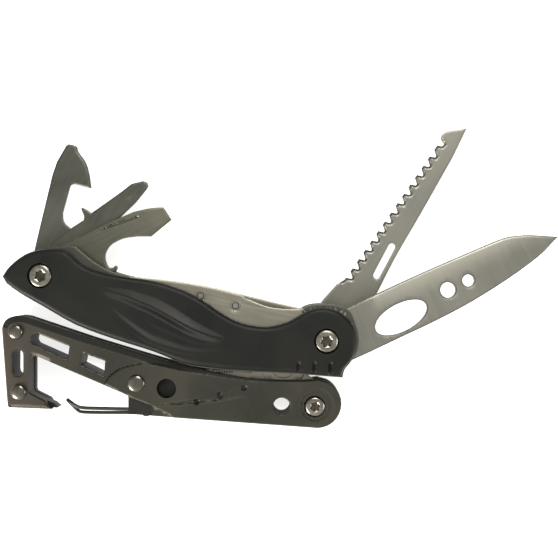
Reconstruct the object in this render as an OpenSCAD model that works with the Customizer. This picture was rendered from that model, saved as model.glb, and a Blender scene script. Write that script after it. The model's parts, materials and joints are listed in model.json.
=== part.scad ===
// Folding multi tool with two handles, lying on its back, every blade drawn open.
// X runs along the handles, Y is up the page, Z is through the thickness.
// Blade outlines are drawn along +X from their pivot and then turned to where they stand open.

/* [Handles] */
// Distance between the blade pivot and the small tool pivot
pivot_span = 85.4; // [78:0.2:104]
// Thickness of each moulded scale
scale_t = 2.6; // [2.4:0.1:3.4]
// Thickness of each steel liner
liner_t = 1.2; // [0.9:0.1:1.8]
// Thickness of each plate of the lower handle
plate_t = 3.4; // [2.8:0.1:4.2]
// How far the rim of a scale slopes inwards
scale_rim = 0.8; // [0.4:0.1:1]

/* [Blades] */
// Length of the knife from pivot to tip
knife_len = 76.5; // [64:0.1:92]
// Thickness of the knife
knife_t = 2; // [1.5:0.1:2.6]
// Angle at which the knife stands open
knife_open = 24.1; // [20:0.1:28]
// Length of the saw from pivot to tip
saw_len = 78.2; // [65:0.1:94]
// Thickness of the saw
saw_t = 1.6; // [1.2:0.1:2.2]
// Angle at which the saw stands open
saw_open = 56.1; // [52:0.1:60]
// Spacing of the saw teeth
tooth_pitch = 3.5; // [2.5:0.1:4.5]
// Depth of the saw teeth
tooth_depth = 1.6; // [1:0.1:2.4]

/* [Small tools] */
// Thickness of each small tool
tool_t = 1.3; // [1:0.1:1.6]
// Length of each small tool from its pivot
tool_len = 41; // [35:0.5:49]
// Angle at which the can opener stands open
can_open = 78.9; // [75:0.1:83]
// Angle at which the cross driver stands open
cross_open = 42.2; // [39:0.1:45]
// Angle at which the flat driver stands open
flat_open = 26.8; // [24:0.1:29]

/* [Pliers] */
// Thickness of the plier jaws
jaw_t = 4.4; // [3.6:0.1:5.6]
// Length of the jaws from their rivet to the tip
jaw_len = 23.5; // [20:0.5:28]
// Radius of the lapped joint between the jaws
lap_r = 6.5; // [5.5:0.1:7]
// Radius of the rivet through the jaws
rivet_r = 2; // [1.5:0.1:2.4]

/* [Fasteners] */
// Radius of the pivot barrels
barrel_r = 2.5; // [2.1:0.1:3]
// Radius of the screw shanks inside the barrels
shank_r = 1.5; // [1.2:0.1:1.7]
// Radius of the screw heads on the upper handle
head_r = 3.5; // [3.2:0.1:4.2]
// Radius of the screw heads on the lower handle
low_head_r = 3; // [2.9:0.1:3.4]
// Thickness of a screw head
head_t = 1.5; // [1.1:0.1:1.8]
// Radius of the lanyard hole
lanyard_r = 2.5; // [2:0.1:3]
// Radius of the gate wire
wire_r = 0.55; // [0.4:0.05:0.7]
// Thickness of the thin pivot washers
washer_t = 0.2; // [0.15:0.05:0.4]
// Thickness of the washers between the small tools
tool_washer_t = 0.25; // [0.15:0.05:0.4]

/* [Fits] */
// Radial clearance of a turning fit
run_gap = 0.05; // [0.02:0.01:0.09]
// Radial clearance of a fixed fit
fit_gap = 0.02; // [0.01:0.01:0.04]
// Clearance between faces that lie on each other
face_gap = 0.02; // [0.01:0.01:0.05]

/* [Hidden] */
$fn = 64;

STEEL = [0.62, 0.61, 0.56];
BLADE = [0.58, 0.57, 0.52];
DARK_STEEL = [0.4, 0.4, 0.37];
SCALE_BLACK = [0.14, 0.15, 0.14];
ANODISED = [0.34, 0.34, 0.31];
BRIGHT = [0.8, 0.79, 0.76];

// Layers through the thickness, from the back up
liner_r_z = scale_t;
cavity_z = liner_r_z + liner_t;
saw_z = cavity_z + washer_t;
// the middle bay holds the jaws, and the small tools when they are shut
tool_stack_t = 3 * tool_t + 2 * tool_washer_t;
mid_washer_t = washer_t + max(0, tool_stack_t - jaw_t) / 2;
jaw_z = saw_z + saw_t + mid_washer_t;
knife_z = jaw_z + jaw_t + mid_washer_t;
cavity_top = knife_z + knife_t + washer_t;
liner_f_z = cavity_top;
scale_f_z = liner_f_z + liner_t;
mid_z = jaw_z + jaw_t / 2;
tool_z = mid_z - tool_stack_t / 2;
tool_step = tool_t + tool_washer_t;
core_z = jaw_z - washer_t;
core_t = jaw_t + 2 * washer_t;
plate_r_z = core_z - plate_t;
plate_f_z = core_z + core_t;

// Handle outlines were drawn for this span, and stretch along X with it
drawn_span = 85.4;
drawn_knife = 75.7;
drawn_saw = 75.8;
drawn_tool = 41;
drawn_jaw = 23.5;
span_k = pivot_span / drawn_span;

// Pivots, measured from the blade pivot
tool_at = [-pivot_span, 19.5];
jaw_at = [-13, -8.1];
low_at = [-3.4, -19.8];
lanyard_at = low_at + [-10.1, 0.2];
gate_at = along([-54.6, -21.6]);
low_rivet_at = [along([-93.3, 2.7]), along([-92.4, -15.4]), along([-57.1, -12.8])];
frame_rivet_at = [along([-55.6, -0.3]), along([-46.2, -3.3])];
liner_rivet_at = [along([-37.8, 13.5]), along([-27.3, 10.5])];
frame_rivet_r = 0.8;
liner_rivet_r = 1.5;
low_shank_r = 1.2;
low_head_h = 0.8;
low_rim_r = [2.2, 2.3, 2.6];
gate_pin_r = 0.9;
gate_eye_r = 1.6;
low_end_at = low_at + [0.6, 0.85];
low_end_r = 7.3;
tang_eye_r = 5.8;
tang_neck_r = 2.8;
jaw_tilt = 1.6;
washer_r = 5;

// Fixed depths and rooms of seats, recesses and laps
seat_room = 0.1;
screw_sink = 0.2;
low_screw_sink = 0.08;
screw_shank_l = 3.5;
socket_depth = 0.9;
scale_base_share = 0.55;
ring_w = 1.3;
ring_depth = 0.4;
recess_at = along([-48, -14.3]);
recess_r = 2.75;
recess_floor = 0.6;
step_depth = 1.2;
nick_depth = 0.4;
lap_room = 0.15;
lap_gap = 0.3;
rivet_head_r = 3.3;
rivet_inset = 0.1;
rivet_head_t = 0.65;

// ---- Outline helpers ----

function along(p) = [p[0] * span_k, p[1]];
function stretch(pts, k) = [for (p = pts) [p[0] * k, p[1]]];
function arc(at, r, from, to, n = 8) =
    [for (i = [0:n]) let (a = from + (to - from) * i / n) at + r * [cos(a), sin(a)]];
function blend4(a, b, c, d, t) =
    0.5 * (2 * b + (c - a) * t + (2 * a - 5 * b + 4 * c - d) * t * t
    + (3 * b - a - 3 * c + d) * t * t * t);
// A smooth run through the points, which keeps its two ends as corners
function run(p, n = 3) = let (m = len(p) - 1)
    [for (i = [0:m - 1]) for (k = [0:n - 1])
        blend4(p[max(i - 1, 0)], p[i], p[i + 1], p[min(i + 2, m)], k / n), p[m]];
function unit(v) = v / norm(v);
// The outline moved inwards by d, for an outline that runs clockwise
function inset(p, d) = let (m = len(p))
    [for (i = [0:m - 1]) let (t = unit(p[(i + 1) % m] - p[(i + m - 1) % m])) p[i] + d * [t[1], -t[0]]];

module plate(points, z, t) {
    translate([0, 0, z]) linear_extrude(t) polygon(points);
}

module hole(at, r, z = -1, t = 40) {
    translate([at[0], at[1], z]) cylinder(r = r, h = t);
}

module disc(at, r, z, t) {
    translate([at[0], at[1], z]) cylinder(r = r, h = t);
}

// The outline of a straight slot with round ends
function slot_outline(a, b, r) = let (turn = atan2(b[1] - a[1], b[0] - a[0]))
    concat(arc(a, r, turn + 270, turn + 90, 10), arc(b, r, turn + 90, turn - 90, 10));

// A round wire swept along a path of points, with no stretch along Y
module wire(p, r, sides = 10) {
    last = len(p) - 1;
    points = [for (i = [0:last])
        let (t = unit(p[min(i + 1, last)] - p[max(i - 1, 0)]), u = unit(cross(t, [0, 1, 0])))
        for (k = [0:sides - 1]) p[i] + r * (cos(360 * k / sides) * u + sin(360 * k / sides) * cross(u, t))];
    skin = [for (i = [0:last - 1]) for (k = [0:sides - 1])
        let (a = i * sides, b = a + sides, n = (k + 1) % sides) [a + k, a + n, b + n, b + k]];
    start = [for (k = [sides - 1:-1:0]) k];
    end = [for (k = [0:sides - 1]) last * sides + k];
    polyhedron(points, concat([start], skin, [end]));
}

module place() {
    translate([origin_at[0], origin_at[1], 0]) children();
}

// ---- Outlines ----

scale_outline = stretch(concat(
    run([[-96.8, 19.3], [-94.6, 22.4], [-90, 25.9], [-85, 27.4], [-79.5, 27.4], [-76.5, 25.9], [-73.3, 23],
        [-68.5, 20.8], [-60, 19.2], [-51, 17.8], [-43, 15.2], [-37, 12.1], [-31.5, 8.3], [-25.5, 5.3],
        [-18, 4.2], [-11.5, 5.7], [-5.5, 9.1], [-1, 10], [4, 8.6], [7.8, 4.6], [8.9, -0.5], [7.8, -4.8],
        [5, -8.2]]),
    [[4.2, -10.5]],
    run([[-10, -9.4], [-24, -8.7], [-36, -7.8], [-43, -6.6], [-52, -3], [-64, 0.9], [-75, 5],
        [-84.5, 10.4], [-92, 14.6], [-95.6, 17.2]])), span_k);

function liner_outline(dip) = stretch(concat(
    run([[-96.2, 19.3], [-94, 22.4], [-89.6, 26], [-85, 27.7], [-79.5, 28.3], [-75.4, 28.2]]),
    run([[-73.6, 26.8], [-70.6, 24.3], [-66.9, 21.9], [-62.5, 20.1], [-57, 19], [-50, 18.3], [-42.5, 17.3],
        [-34, 15.8], [-25.5, 13.7]]),
    dip,
    run([[-7.8, 9.5], [-5, 10.7], [-0.5, 11.1], [4.2, 10.4], [7.1, 8.6], [8.6, 5.2], [9.6, 1.4], [9.2, -3],
        [7.2, -6.4], [5.4, -8.6], [4.8, -11]]),
    run([[-10, -9.9], [-24, -9.2], [-36, -8.2], [-43, -6.8], [-52, -3.2], [-64, 0.6], [-75, 4.7],
        [-84.6, 10.1], [-92, 14.3], [-95, 17]])), span_k);

front_dip = run([[-24.6, 12.8], [-21, 11.4], [-17.5, 10.1], [-13, 9.5]]);
rear_dip = [[-19.5, 12.2], [-13.3, 10.7]];

// The lower handle, measured from the blade pivot, clockwise from its top left corner
low_outline = concat(
    stretch(concat(
        run([[-97.6, 4.2], [-96.8, 5.9], [-95.2, 7], [-92.8, 7.5], [-90.4, 7.2]]),
        run([[-71, 0.7], [-49.4, -5.8], [-38, -8.6], [-29, -10.6], [-22, -11.6]])), span_k),
    run([[-15, -11.9], [-7, -12], [-2.5, -11.6]]),
    arc(low_end_at, low_end_r, 62, -88, 12),
    stretch([[-59.6, -22.1], [-59.6, -16.5], [-87.1, -4.7], [-88.4, -4.6], [-89.2, -5.6], [-89.2, -15.2],
        [-88.8, -15.9], [-84.6, -18], [-83.6, -19.8], [-82.6, -20.6]], span_k),
    stretch([[-95.4, -20.1], [-95.8, -19.6], [-96, -17.5]], span_k));

core_right = -42 * span_k;
core_outline = concat(
    stretch(concat(
        run([[-97.3, 4.1], [-96.5, 5.6], [-95, 6.7], [-92.8, 7.2], [-90.4, 6.9]]),
        [[-71, 0.4], [-49.4, -6.1], [-42, -7.9]]), span_k),
    [[core_right, -22.9]],
    stretch([[-48, -22.6], [-51, -19.4], [-59.3, -19.4], [-59.3, -16.2], [-87.2, -4.2], [-88.6, -4.1],
        [-89.5, -5.5], [-89.5, -15.3], [-88.9, -16.1], [-84.8, -18.1], [-82.6, -19], [-81.2, -20.2],
        [-81.4, -20.5], [-95.2, -19.8], [-95.7, -17.5]], span_k));

// Spacer along the lower edge, with a notch for the spring's foot
frame_spacer_outline = stretch(concat(
    [[-64, 1.7], [-58, 1.4], [-52.8, 0.75], [-52.8, -1], [-51.2, -1], [-51.2, 0.6]],
    run([[-46, -0.9], [-42, -3], [-40.5, -4.8]]),
    run([[-40.5, -6.8], [-43, -6.1], [-52, -2.6], [-64, 1.1]])), span_k);

// Leaf that rests against the tangs of the small tools
tool_spring_outline = stretch([[-86, 13.1], [-85, 13.6], [-78, 8.7], [-70, 4.8], [-62, 3], [-51.4, 1.9],
    [-51.4, -0.8], [-52.6, -0.8], [-52.6, 0.95], [-62, 2.1], [-70, 3.8], [-78, 7.3], [-84.6, 11.9]], span_k);

knife_outline = stretch(concat(
    run([[9.4, 6.3], [20, 6.6], [34, 6.8], [50, 6.6], [60.6, 6.3], [64.6, 5.3], [68.3, 3.9], [75.7, 0]]),
    run([[73.2, -1], [68, -3], [57, -5.4], [44.5, -7.2], [33, -8], [21, -8.3], [10, -8.5]]),
    arc([0, 0], 8.5, -90, -270, 12), [[4, 6.9]]), knife_len / drawn_knife);

saw_outline = stretch(concat(
    arc([0, 0], 7.4, 270, 90, 10),
    [[9.6, 7.3], [15.6, 6.4], [18, 5.2]],
    [[66.8, 4.6], [67.2, 3.3], [68.2, 3], [68.6, 4.2]],
    run([[69.2, 5], [70.4, 5.2], [71.6, 4.7]]),
    [[75.8, 0]],
    run([[66, -1.4], [47, -2.9], [32, -3.9], [21, -5.2], [10, -6.8]])), saw_len / drawn_saw);

can_outline = stretch(concat(
    arc([0, 0], 5.5, 270, 90, 10),
    [[14.4, 5], [30.7, 4.3], [35, 3.7], [40.2, 1.9]],
    run([[40.9, 1.2], [40.7, -1.2], [39.2, -2.1], [36.6, -4.8], [33.4, -6.6], [28.9, -8.2]]),
    run([[29.2, -2.9], [28.8, -1.9], [27.6, -1.6]]),
    run([[19.9, -1], [17.9, -1.5], [16.6, -2.6], [15.4, -4.4], [12, -5.4]])), tool_len / drawn_tool);

cross_outline = stretch(concat(
    arc([0, 0], 5.5, 270, 90, 10),
    [[9, 6], [15.2, 5.6], [20, 4.8]],
    run([[20.9, 5.6], [21.9, 8], [22.8, 6.6], [23.2, 4.8]], 4),
    [[34, 3.5], [38.2, 3.2]],
    run([[41.3, 1.6], [42, 0.4], [41.4, -0.8], [38.6, -1.4]]),
    run([[35, -1.9], [27, -2.2], [14, -3.6], [8, -5]])), tool_len / drawn_tool);

flat_outline = stretch(concat(
    arc([0, 0], 5.5, 270, 90, 10),
    [[15, 5.8], [24.4, 5.7]],
    run([[33, 5.1], [38.2, 3.8], [41.6, 2.3]]),
    [[42.1, -2.2], [34.2, -3.9]],
    run([[30.4, -2], [26.5, -0.7], [22.8, -0.6], [20.4, -1.6], [19, -3.2], [18.5, -5.4], [18.8, -6.8]]),
    run([[19.9, -7.2], [20.7, -6.9], [20.9, -7.8], [19.6, -8.8]]),
    run([[14, -8.4], [9, -7.4]])), tool_len / drawn_tool);

// The bounding box, which puts the origin under the middle of the whole tool
low_left = min([for (p = low_outline) p[0]]);
low_bottom = min([for (p = low_outline) p[1]]);
knife_right = knife_len * cos(knife_open);
saw_top = saw_len * sin(saw_open);
origin_at = [-(low_left + knife_right) / 2, -(low_bottom + saw_top) / 2];

// ---- Upper handle ----

// A scale with a stepped rim; up says which way its outer face looks
module scale_solid(z, up) {
    base_t = scale_t * scale_base_share;
    seat_t = head_t + screw_sink + seat_room;
    difference() {
        union() {
            plate(scale_outline, up ? z : z + scale_t - base_t, base_t);
            plate(inset(scale_outline, scale_rim), z, scale_t);
        }
        for (at = [[0, 0], tool_at]) {
            hole(at, shank_r + fit_gap + seat_room);
            hole(at, head_r + seat_room, up ? z + scale_t - seat_t : z - 1, seat_t + 1);
        }
    }
}

module scale_front() {
    color(SCALE_BLACK) place() scale_solid(scale_f_z, true);
}

module scale_rear() {
    color(SCALE_BLACK) place() scale_solid(0, false);
}

module liner_solid(z, dip) {
    difference() {
        plate(liner_outline(dip), z, liner_t);
        for (at = [[0, 0], tool_at]) hole(at, barrel_r + fit_gap);
        for (at = frame_rivet_at) hole(at, frame_rivet_r + fit_gap);
        for (at = liner_rivet_at) hole(at, liner_rivet_r + fit_gap);
    }
}

module liner_front() {
    color(STEEL) place() liner_solid(liner_f_z, front_dip);
}

module liner_rear() {
    color(STEEL) place() liner_solid(liner_r_z, rear_dip);
}

module frame_spacer() {
    color(DARK_STEEL) place() difference() {
        plate(frame_spacer_outline, cavity_z, cavity_top - cavity_z);
        for (at = frame_rivet_at) hole(at, frame_rivet_r + fit_gap);
    }
}

module tool_spring() {
    color(BRIGHT) place() plate(tool_spring_outline, tool_z + face_gap, tool_stack_t - 2 * face_gap);
}

module frame_rivets() {
    color(STEEL) place() for (at = frame_rivet_at) disc(at, frame_rivet_r, liner_r_z, scale_f_z - liner_r_z);
}

module liner_rivets() {
    color(BRIGHT) place() for (at = liner_rivet_at) for (z = [liner_r_z, liner_f_z])
        disc(at, liner_rivet_r, z, liner_t);
}

module barrel_solid(at, r, z, t) {
    difference() {
        disc(at, r, z, t);
        hole(at, shank_r + fit_gap);
    }
}

// One socket head screw: shank, head with a rounded rim and a six-lobed socket
module screw(at, r, z, up) {
    socket_r = r * 0.42;
    lobe_r = socket_r * 0.32;
    corner = 0.5;
    translate([at[0], at[1], z]) mirror([0, 0, up ? 0 : 1]) difference() {
        rotate_extrude() polygon(concat(
            [[0, -screw_shank_l], [shank_r, -screw_shank_l], [shank_r, 0], [r, 0]],
            arc([r - corner, head_t - corner], corner, 0, 90, 4), [[0, head_t]]));
        translate([0, 0, head_t - socket_depth]) cylinder(r = socket_r * 0.78, h = 2);
        for (i = [0:5]) rotate(60 * i) translate([socket_r - lobe_r, 0, head_t - socket_depth])
            cylinder(r = lobe_r, h = 2, $fn = 24);
    }
}

module screw_pair(at) {
    screw(at, head_r, scale_f_z + scale_t - head_t - screw_sink, true);
    screw(at, head_r, head_t + screw_sink, false);
}

module blade_barrel() {
    color(STEEL) place() barrel_solid([0, 0], barrel_r, liner_r_z, scale_f_z - liner_r_z);
}

module blade_screws() {
    color(BRIGHT) place() screw_pair([0, 0]);
}

module washer(at, ring_r, z, t) {
    difference() {
        disc(at, ring_r, z + face_gap, t - 2 * face_gap);
        hole(at, barrel_r + fit_gap);
    }
}

module blade_washers() {
    color(BRIGHT) place() {
        for (z = [cavity_z, knife_z + knife_t]) washer([0, 0], washer_r, z, washer_t);
        for (z = [saw_z + saw_t, jaw_z + jaw_t]) washer([0, 0], washer_r, z, mid_washer_t);
    }
}

module tool_barrel() {
    color(STEEL) place() barrel_solid(tool_at, barrel_r, liner_r_z, scale_f_z - liner_r_z);
}

module tool_screws() {
    color(BRIGHT) place() screw_pair(tool_at);
}

module tool_washers() {
    color(BRIGHT) place() for (i = [0, 1])
        washer(tool_at, washer_r, tool_z + tool_t + i * tool_step, tool_washer_t);
}

// Thick collars that fill the blade bays beside the small tools
module tool_collars() {
    color(STEEL) place() {
        washer(tool_at, washer_r, cavity_z, tool_z - cavity_z);
        washer(tool_at, washer_r, tool_z + tool_stack_t, cavity_top - tool_z - tool_stack_t);
    }
}

// ---- Blades ----

module knife_blade() {
    grind = 5.5;
    grind_angle = 7;
    k = knife_len / drawn_knife;
    color(BLADE) place() rotate(knife_open) difference() {
        plate(knife_outline, knife_z, knife_t);
        hole([0, 0], barrel_r + run_gap);
        // the flats that thin the blade towards its edge
        for (side = [0, 1]) translate([17 * k, 6.9 - grind, knife_z + side * knife_t])
            rotate([side == 1 ? -grind_angle : grind_angle, 0, 0])
            translate([0, 0, side == 1 ? 0 : -3]) cube([70 * k, 20, 3]);
        // the long thumb hole and two round ones
        thumb = [for (a = [0:12:348]) [8.5 * k * cos(a), 4.2 * sin(a)]];
        translate([23.2 * k, -2.9, 0]) rotate(3) plate(thumb, 0, 40);
        hole([39.3 * k, -1.1], 2.35);
        hole([46 * k, -1], 1.85);
    }
}

module saw_blade() {
    k = saw_len / drawn_saw;
    first = 18.6 * k;
    last = 67 * k;
    teeth = floor((last - first) / tooth_pitch + 0.3);
    slope = (4.6 - 5.2) / (48.8 * k);
    color(BLADE) place() rotate(saw_open) difference() {
        plate(saw_outline, saw_z, saw_t);
        hole([0, 0], barrel_r + run_gap);
        for (i = [0:teeth - 1]) let (x = first + i * tooth_pitch, y = 5.2 + slope * (x - 18 * k))
            plate([[x - 0.1, y + 0.6], [x + 0.7, y - tooth_depth], [x + 1.3, y - tooth_depth],
                [x + tooth_pitch - 0.5, y + 0.6]], 0, 40);
        plate(slot_outline([24.4 * k, -2.2], [34 * k, -1.2], 1.1), 0, 40);
    }
}

module can_opener() {
    color(DARK_STEEL) place() translate(tool_at) rotate(can_open) difference() {
        plate(can_outline, tool_z, tool_t);
        hole([0, 0], barrel_r + run_gap);
    }
}

module cross_driver() {
    color(DARK_STEEL) place() translate(tool_at) rotate(cross_open) difference() {
        plate(cross_outline, tool_z + tool_step, tool_t);
        hole([0, 0], barrel_r + run_gap);
    }
}

module flat_driver() {
    z = tool_z + 2 * tool_step;
    k = tool_len / drawn_tool;
    color(DARK_STEEL) place() translate(tool_at) rotate(flat_open) difference() {
        plate(flat_outline, z, tool_t);
        hole([0, 0], barrel_r + run_gap);
        // thumbnail groove along the upper edge
        plate([[20.5 * k, 4.6], [27 * k, 4.6], [35.4 * k, 3.2], [27 * k, 3.7]], z + tool_t - nick_depth, 1);
    }
}

// ---- Pliers ----

module link(a, ra, b, rb, z, t) {
    n = let (u = unit(b - a)) [-u[1], u[0]];
    plate([a + n * ra, b + n * rb, b - n * rb, a - n * ra], z, t);
    disc(b, rb, z, t);
}

// One jaw: side 1 lies below the parting line, side -1 above it
module jaw_solid(side, tang_at, tang_r, own_z, cut_z) {
    k = jaw_len / drawn_jaw;
    jaw = [for (p = concat([[-2.5, -0.06], [-22.6, -0.06]],
        run([[-23.5, -0.5], [-23.2, -1.3], [-22, -2]]),
        run([[-17, -3.2], [-11, -4.8], [-7, -6], [-4.2, -6.2]]))) [p[0] * k, p[1] * side]];
    half = jaw_t / 2 - face_gap;
    difference() {
        union() {
            disc(jaw_at, lap_r, own_z, half);
            link(jaw_at, tang_neck_r, tang_at, tang_r, jaw_z, jaw_t);
            translate(jaw_at) rotate(jaw_tilt) plate(jaw, jaw_z, jaw_t);
        }
        // room for the other jaw's lap
        hole(jaw_at, lap_r + lap_room, cut_z, half + 2 * face_gap + lap_gap);
        // gripping teeth along the parting line
        translate(jaw_at) rotate(jaw_tilt) for (i = [0:7]) let (x = -(21.4 - 1.1 * i) * k)
            plate([[x - 0.4, 0.01 * side], [x, -0.5 * side], [x + 0.4, 0.01 * side]], 0, 40);
        // the round pipe grip
        translate(jaw_at) rotate(jaw_tilt) hole([-10.2 * k, 0.3 * side], 1.6);
        hole(tang_at, barrel_r + run_gap);
    }
}

module jaw_upper_tang() {
    color(STEEL) place() difference() {
        jaw_solid(1, [0, 0], tang_eye_r, mid_z + face_gap, jaw_z - lap_gap);
        hole(jaw_at, rivet_r + fit_gap);
        hole(jaw_at, rivet_head_r + seat_room, jaw_z + jaw_t - rivet_head_t - rivet_inset - run_gap, 2);
    }
}

module jaw_lower_tang() {
    color(STEEL) place() difference() {
        jaw_solid(-1, low_at, tang_eye_r, jaw_z, mid_z - face_gap);
        hole(jaw_at, rivet_r + run_gap);
        hole(jaw_at, rivet_head_r + seat_room, jaw_z - 2 + rivet_head_t + rivet_inset + run_gap, 2);
    }
}

module jaw_rivet() {
    color(BRIGHT) place() {
        disc(jaw_at, rivet_r, jaw_z + rivet_inset, jaw_t - 2 * rivet_inset);
        for (z = [jaw_z + rivet_inset, jaw_z + jaw_t - rivet_inset - rivet_head_t])
            disc(jaw_at, rivet_head_r, z, rivet_head_t);
    }
}

// ---- Lower handle ----

module low_slots(z, t) {
    plate(stretch(slot_outline([-92.8, -4.3], [-92.8, -9.1], 1.7), span_k), z, t);
    plate(stretch(concat(arc([-87, 0.3], 1.8, 248, 68, 10), [[-77.2, -1.7], [-77.8, -5.7]]), span_k), z, t);
    plate(stretch([[-73.2, -3.7], [-66.5, -6.1], [-66.8, -10.6], [-73.9, -7.1]], span_k), z, t);
}

module low_plate_solid(z, front) {
    out_z = front ? z + plate_t : z;
    difference() {
        plate(low_outline, z, plate_t);
        low_slots(z - 1, plate_t + 2);
        for (at = low_rivet_at) hole(at, low_shank_r + fit_gap);
        hole(gate_at, gate_pin_r + fit_gap);
        hole(lanyard_at, lanyard_r);
        hole(low_at, barrel_r + run_gap);
        // seat of the screw head and the shallow ring around it
        seat_t = head_t + seat_room;
        hole(low_at, low_head_r + seat_room, front ? out_z - seat_t : z - 1, seat_t + 1);
        hole(low_at, low_head_r + ring_w, front ? out_z - ring_depth : z - 1, ring_depth + 1);
        // blind round recess
        hole(recess_at, recess_r, front ? z + recess_floor : z - 1, plate_t - recess_floor + 1);
        // sunk step where the gate wire enters
        plate(stretch([[-61, -16.6], [-52.6, -19.6], [-52.6, -24], [-61, -24]], span_k),
            front ? out_z - step_depth : z - 1, step_depth + 1);
    }
}

module low_plate_front() {
    color(ANODISED) place() low_plate_solid(plate_f_z, true);
}

module low_plate_rear() {
    color(ANODISED) place() low_plate_solid(plate_r_z, false);
}

module low_core() {
    color(ANODISED) place() difference() {
        plate(core_outline, core_z, core_t);
        low_slots(core_z - 1, core_t + 2);
        for (at = low_rivet_at) hole(at, low_shank_r + fit_gap);
    }
}

module low_rivets() {
    color(BRIGHT) place() for (i = [0:2]) let (r = low_rim_r[i])
        translate([low_rivet_at[i][0], low_rivet_at[i][1], 0]) {
            translate([0, 0, plate_r_z]) cylinder(r = low_shank_r, h = 2 * plate_t + core_t);
            for (side = [0, 1]) translate([0, 0, side == 1 ? plate_f_z + plate_t : plate_r_z])
                mirror([0, 0, 1 - side]) rotate_extrude() polygon(concat([[0, 0], [r, 0]],
                [for (a = [10:16:90]) [r * cos(a), low_head_h * (0.25 + 0.75 * sin(a))]]));
        }
}

module low_barrel() {
    under_head = head_t + low_screw_sink + seat_room;
    t = 2 * plate_t + core_t - 2 * under_head;
    color(STEEL) place() barrel_solid(low_at, barrel_r, plate_r_z + under_head, t);
}

module low_screws() {
    color(BRIGHT) place() {
        screw(low_at, low_head_r, plate_f_z + plate_t - head_t - low_screw_sink, true);
        screw(low_at, low_head_r, plate_r_z + head_t + low_screw_sink, false);
    }
}

module low_washers() {
    color(BRIGHT) place() for (z = [core_z, jaw_z + jaw_t]) washer(low_at, washer_r, z, washer_t);
}

// ---- Wire gate ----

module gate_wire() {
    leg_room = 0.5;
    leg_z = core_t / 2 - wire_r - leg_room;
    nose = -24.2 * span_k;
    front = [[-1.4, 0.6, leg_z], [nose / 2, 0.8, leg_z], [nose + 5, 1, leg_z],
        [nose + 0.9, 2.8, leg_z - 0.3]];
    bend = [[nose, 3.2, 0]];
    rear = [[nose + 1.4, 2.2, 0.3 - leg_z], [nose + 4, -0.6, -leg_z], [nose / 2, -0.8, -leg_z],
        [-1.4, -0.7, -leg_z]];
    path = [for (p = run(concat(front, bend, rear))) [gate_at[0], gate_at[1], mid_z] + p];
    color(DARK_STEEL) place() {
        wire(path, wire_r);
        for (side = [-1, 1]) difference() {
            disc(gate_at, gate_eye_r, mid_z + side * leg_z - wire_r, 2 * wire_r);
            hole(gate_at, gate_pin_r + run_gap);
        }
    }
}

module gate_pin() {
    pin_t = 2 * (plate_t - step_depth) + core_t;
    color(BRIGHT) place() disc(gate_at, gate_pin_r, plate_r_z + step_depth, pin_t);
}

scale_front();
scale_rear();
liner_front();
liner_rear();
frame_spacer();
tool_spring();
frame_rivets();
liner_rivets();
blade_barrel();
blade_screws();
blade_washers();
tool_barrel();
tool_screws();
tool_washers();
tool_collars();
knife_blade();
saw_blade();
can_opener();
cross_driver();
flat_driver();
jaw_upper_tang();
jaw_lower_tang();
jaw_rivet();
low_plate_front();
low_plate_rear();
low_core();
low_rivets();
low_barrel();
low_screws();
low_washers();
gate_wire();
gate_pin();
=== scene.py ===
# Folding multi tool with two handles: the looks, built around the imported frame
import json
import math
import bmesh
import bpy
import numpy as np
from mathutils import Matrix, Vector, geometry


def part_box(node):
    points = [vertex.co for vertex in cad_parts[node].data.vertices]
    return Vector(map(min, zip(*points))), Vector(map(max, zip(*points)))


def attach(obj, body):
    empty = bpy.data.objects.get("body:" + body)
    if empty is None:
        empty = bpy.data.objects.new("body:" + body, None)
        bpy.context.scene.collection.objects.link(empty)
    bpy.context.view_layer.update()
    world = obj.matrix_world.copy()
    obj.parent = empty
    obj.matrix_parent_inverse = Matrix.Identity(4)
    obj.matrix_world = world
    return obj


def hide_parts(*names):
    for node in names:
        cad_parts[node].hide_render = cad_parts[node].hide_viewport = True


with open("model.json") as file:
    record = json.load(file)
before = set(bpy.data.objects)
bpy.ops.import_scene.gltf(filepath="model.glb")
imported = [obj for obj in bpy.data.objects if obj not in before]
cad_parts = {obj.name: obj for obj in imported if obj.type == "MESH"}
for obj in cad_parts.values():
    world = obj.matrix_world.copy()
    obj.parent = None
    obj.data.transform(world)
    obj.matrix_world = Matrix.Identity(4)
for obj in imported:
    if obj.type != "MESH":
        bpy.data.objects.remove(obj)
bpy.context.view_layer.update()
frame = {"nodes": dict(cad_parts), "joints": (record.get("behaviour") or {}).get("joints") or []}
mm = 0.001


def pivotOf(jointName):
    joint = next(j for j in frame["joints"] if j["name"] == jointName)
    return Vector(joint["pos_m"])


bladePivot = pivotOf("knife_fold")
toolPivot = pivotOf("can_opener_fold")
lowPivot = pivotOf("low_pivot_turn")
jawPivot = pivotOf("jaw_open")
gatePivot = pivotOf("gate_swing")
drawnSpan = 85.4  # distance between pivots that the shapes below were drawn for
span = (bladePivot.x - toolPivot.x) / mm / drawnSpan  # shapes along the handles stretch with it


# camera, lights and floor

studio = {
    "cameraFrom": (-14.25, 18.52), "cameraHeight": 0.317, "lens": 65.25,  # millimetres from the blade pivot
    "skyColor": (0.96, 0.96, 0.93), "skyBase": 0.2, "skyLean": (-0.16, -0.42, 0.40),  # brightest overhead
    "keyColor": (1.0, 0.95, 0.88), "fillColor": (1.0, 0.99, 0.95),
    "floorColor": (0.93, 0.93, 0.92), "floorGlow": 0.8, "floorWidth": 6.0, "floorLevel": -0.00002,
    "lightSize": 0.30,
    "lights": [("key", (-0.42, -0.40, 0.34), 3.6, "keyColor"),  # low, from the lower left
               ("top", (0.05, 0.40, 0.62), 2.0, "fillColor"), ("right", (0.60, -0.10, 0.40), 1.2, "fillColor")],
}


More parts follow.
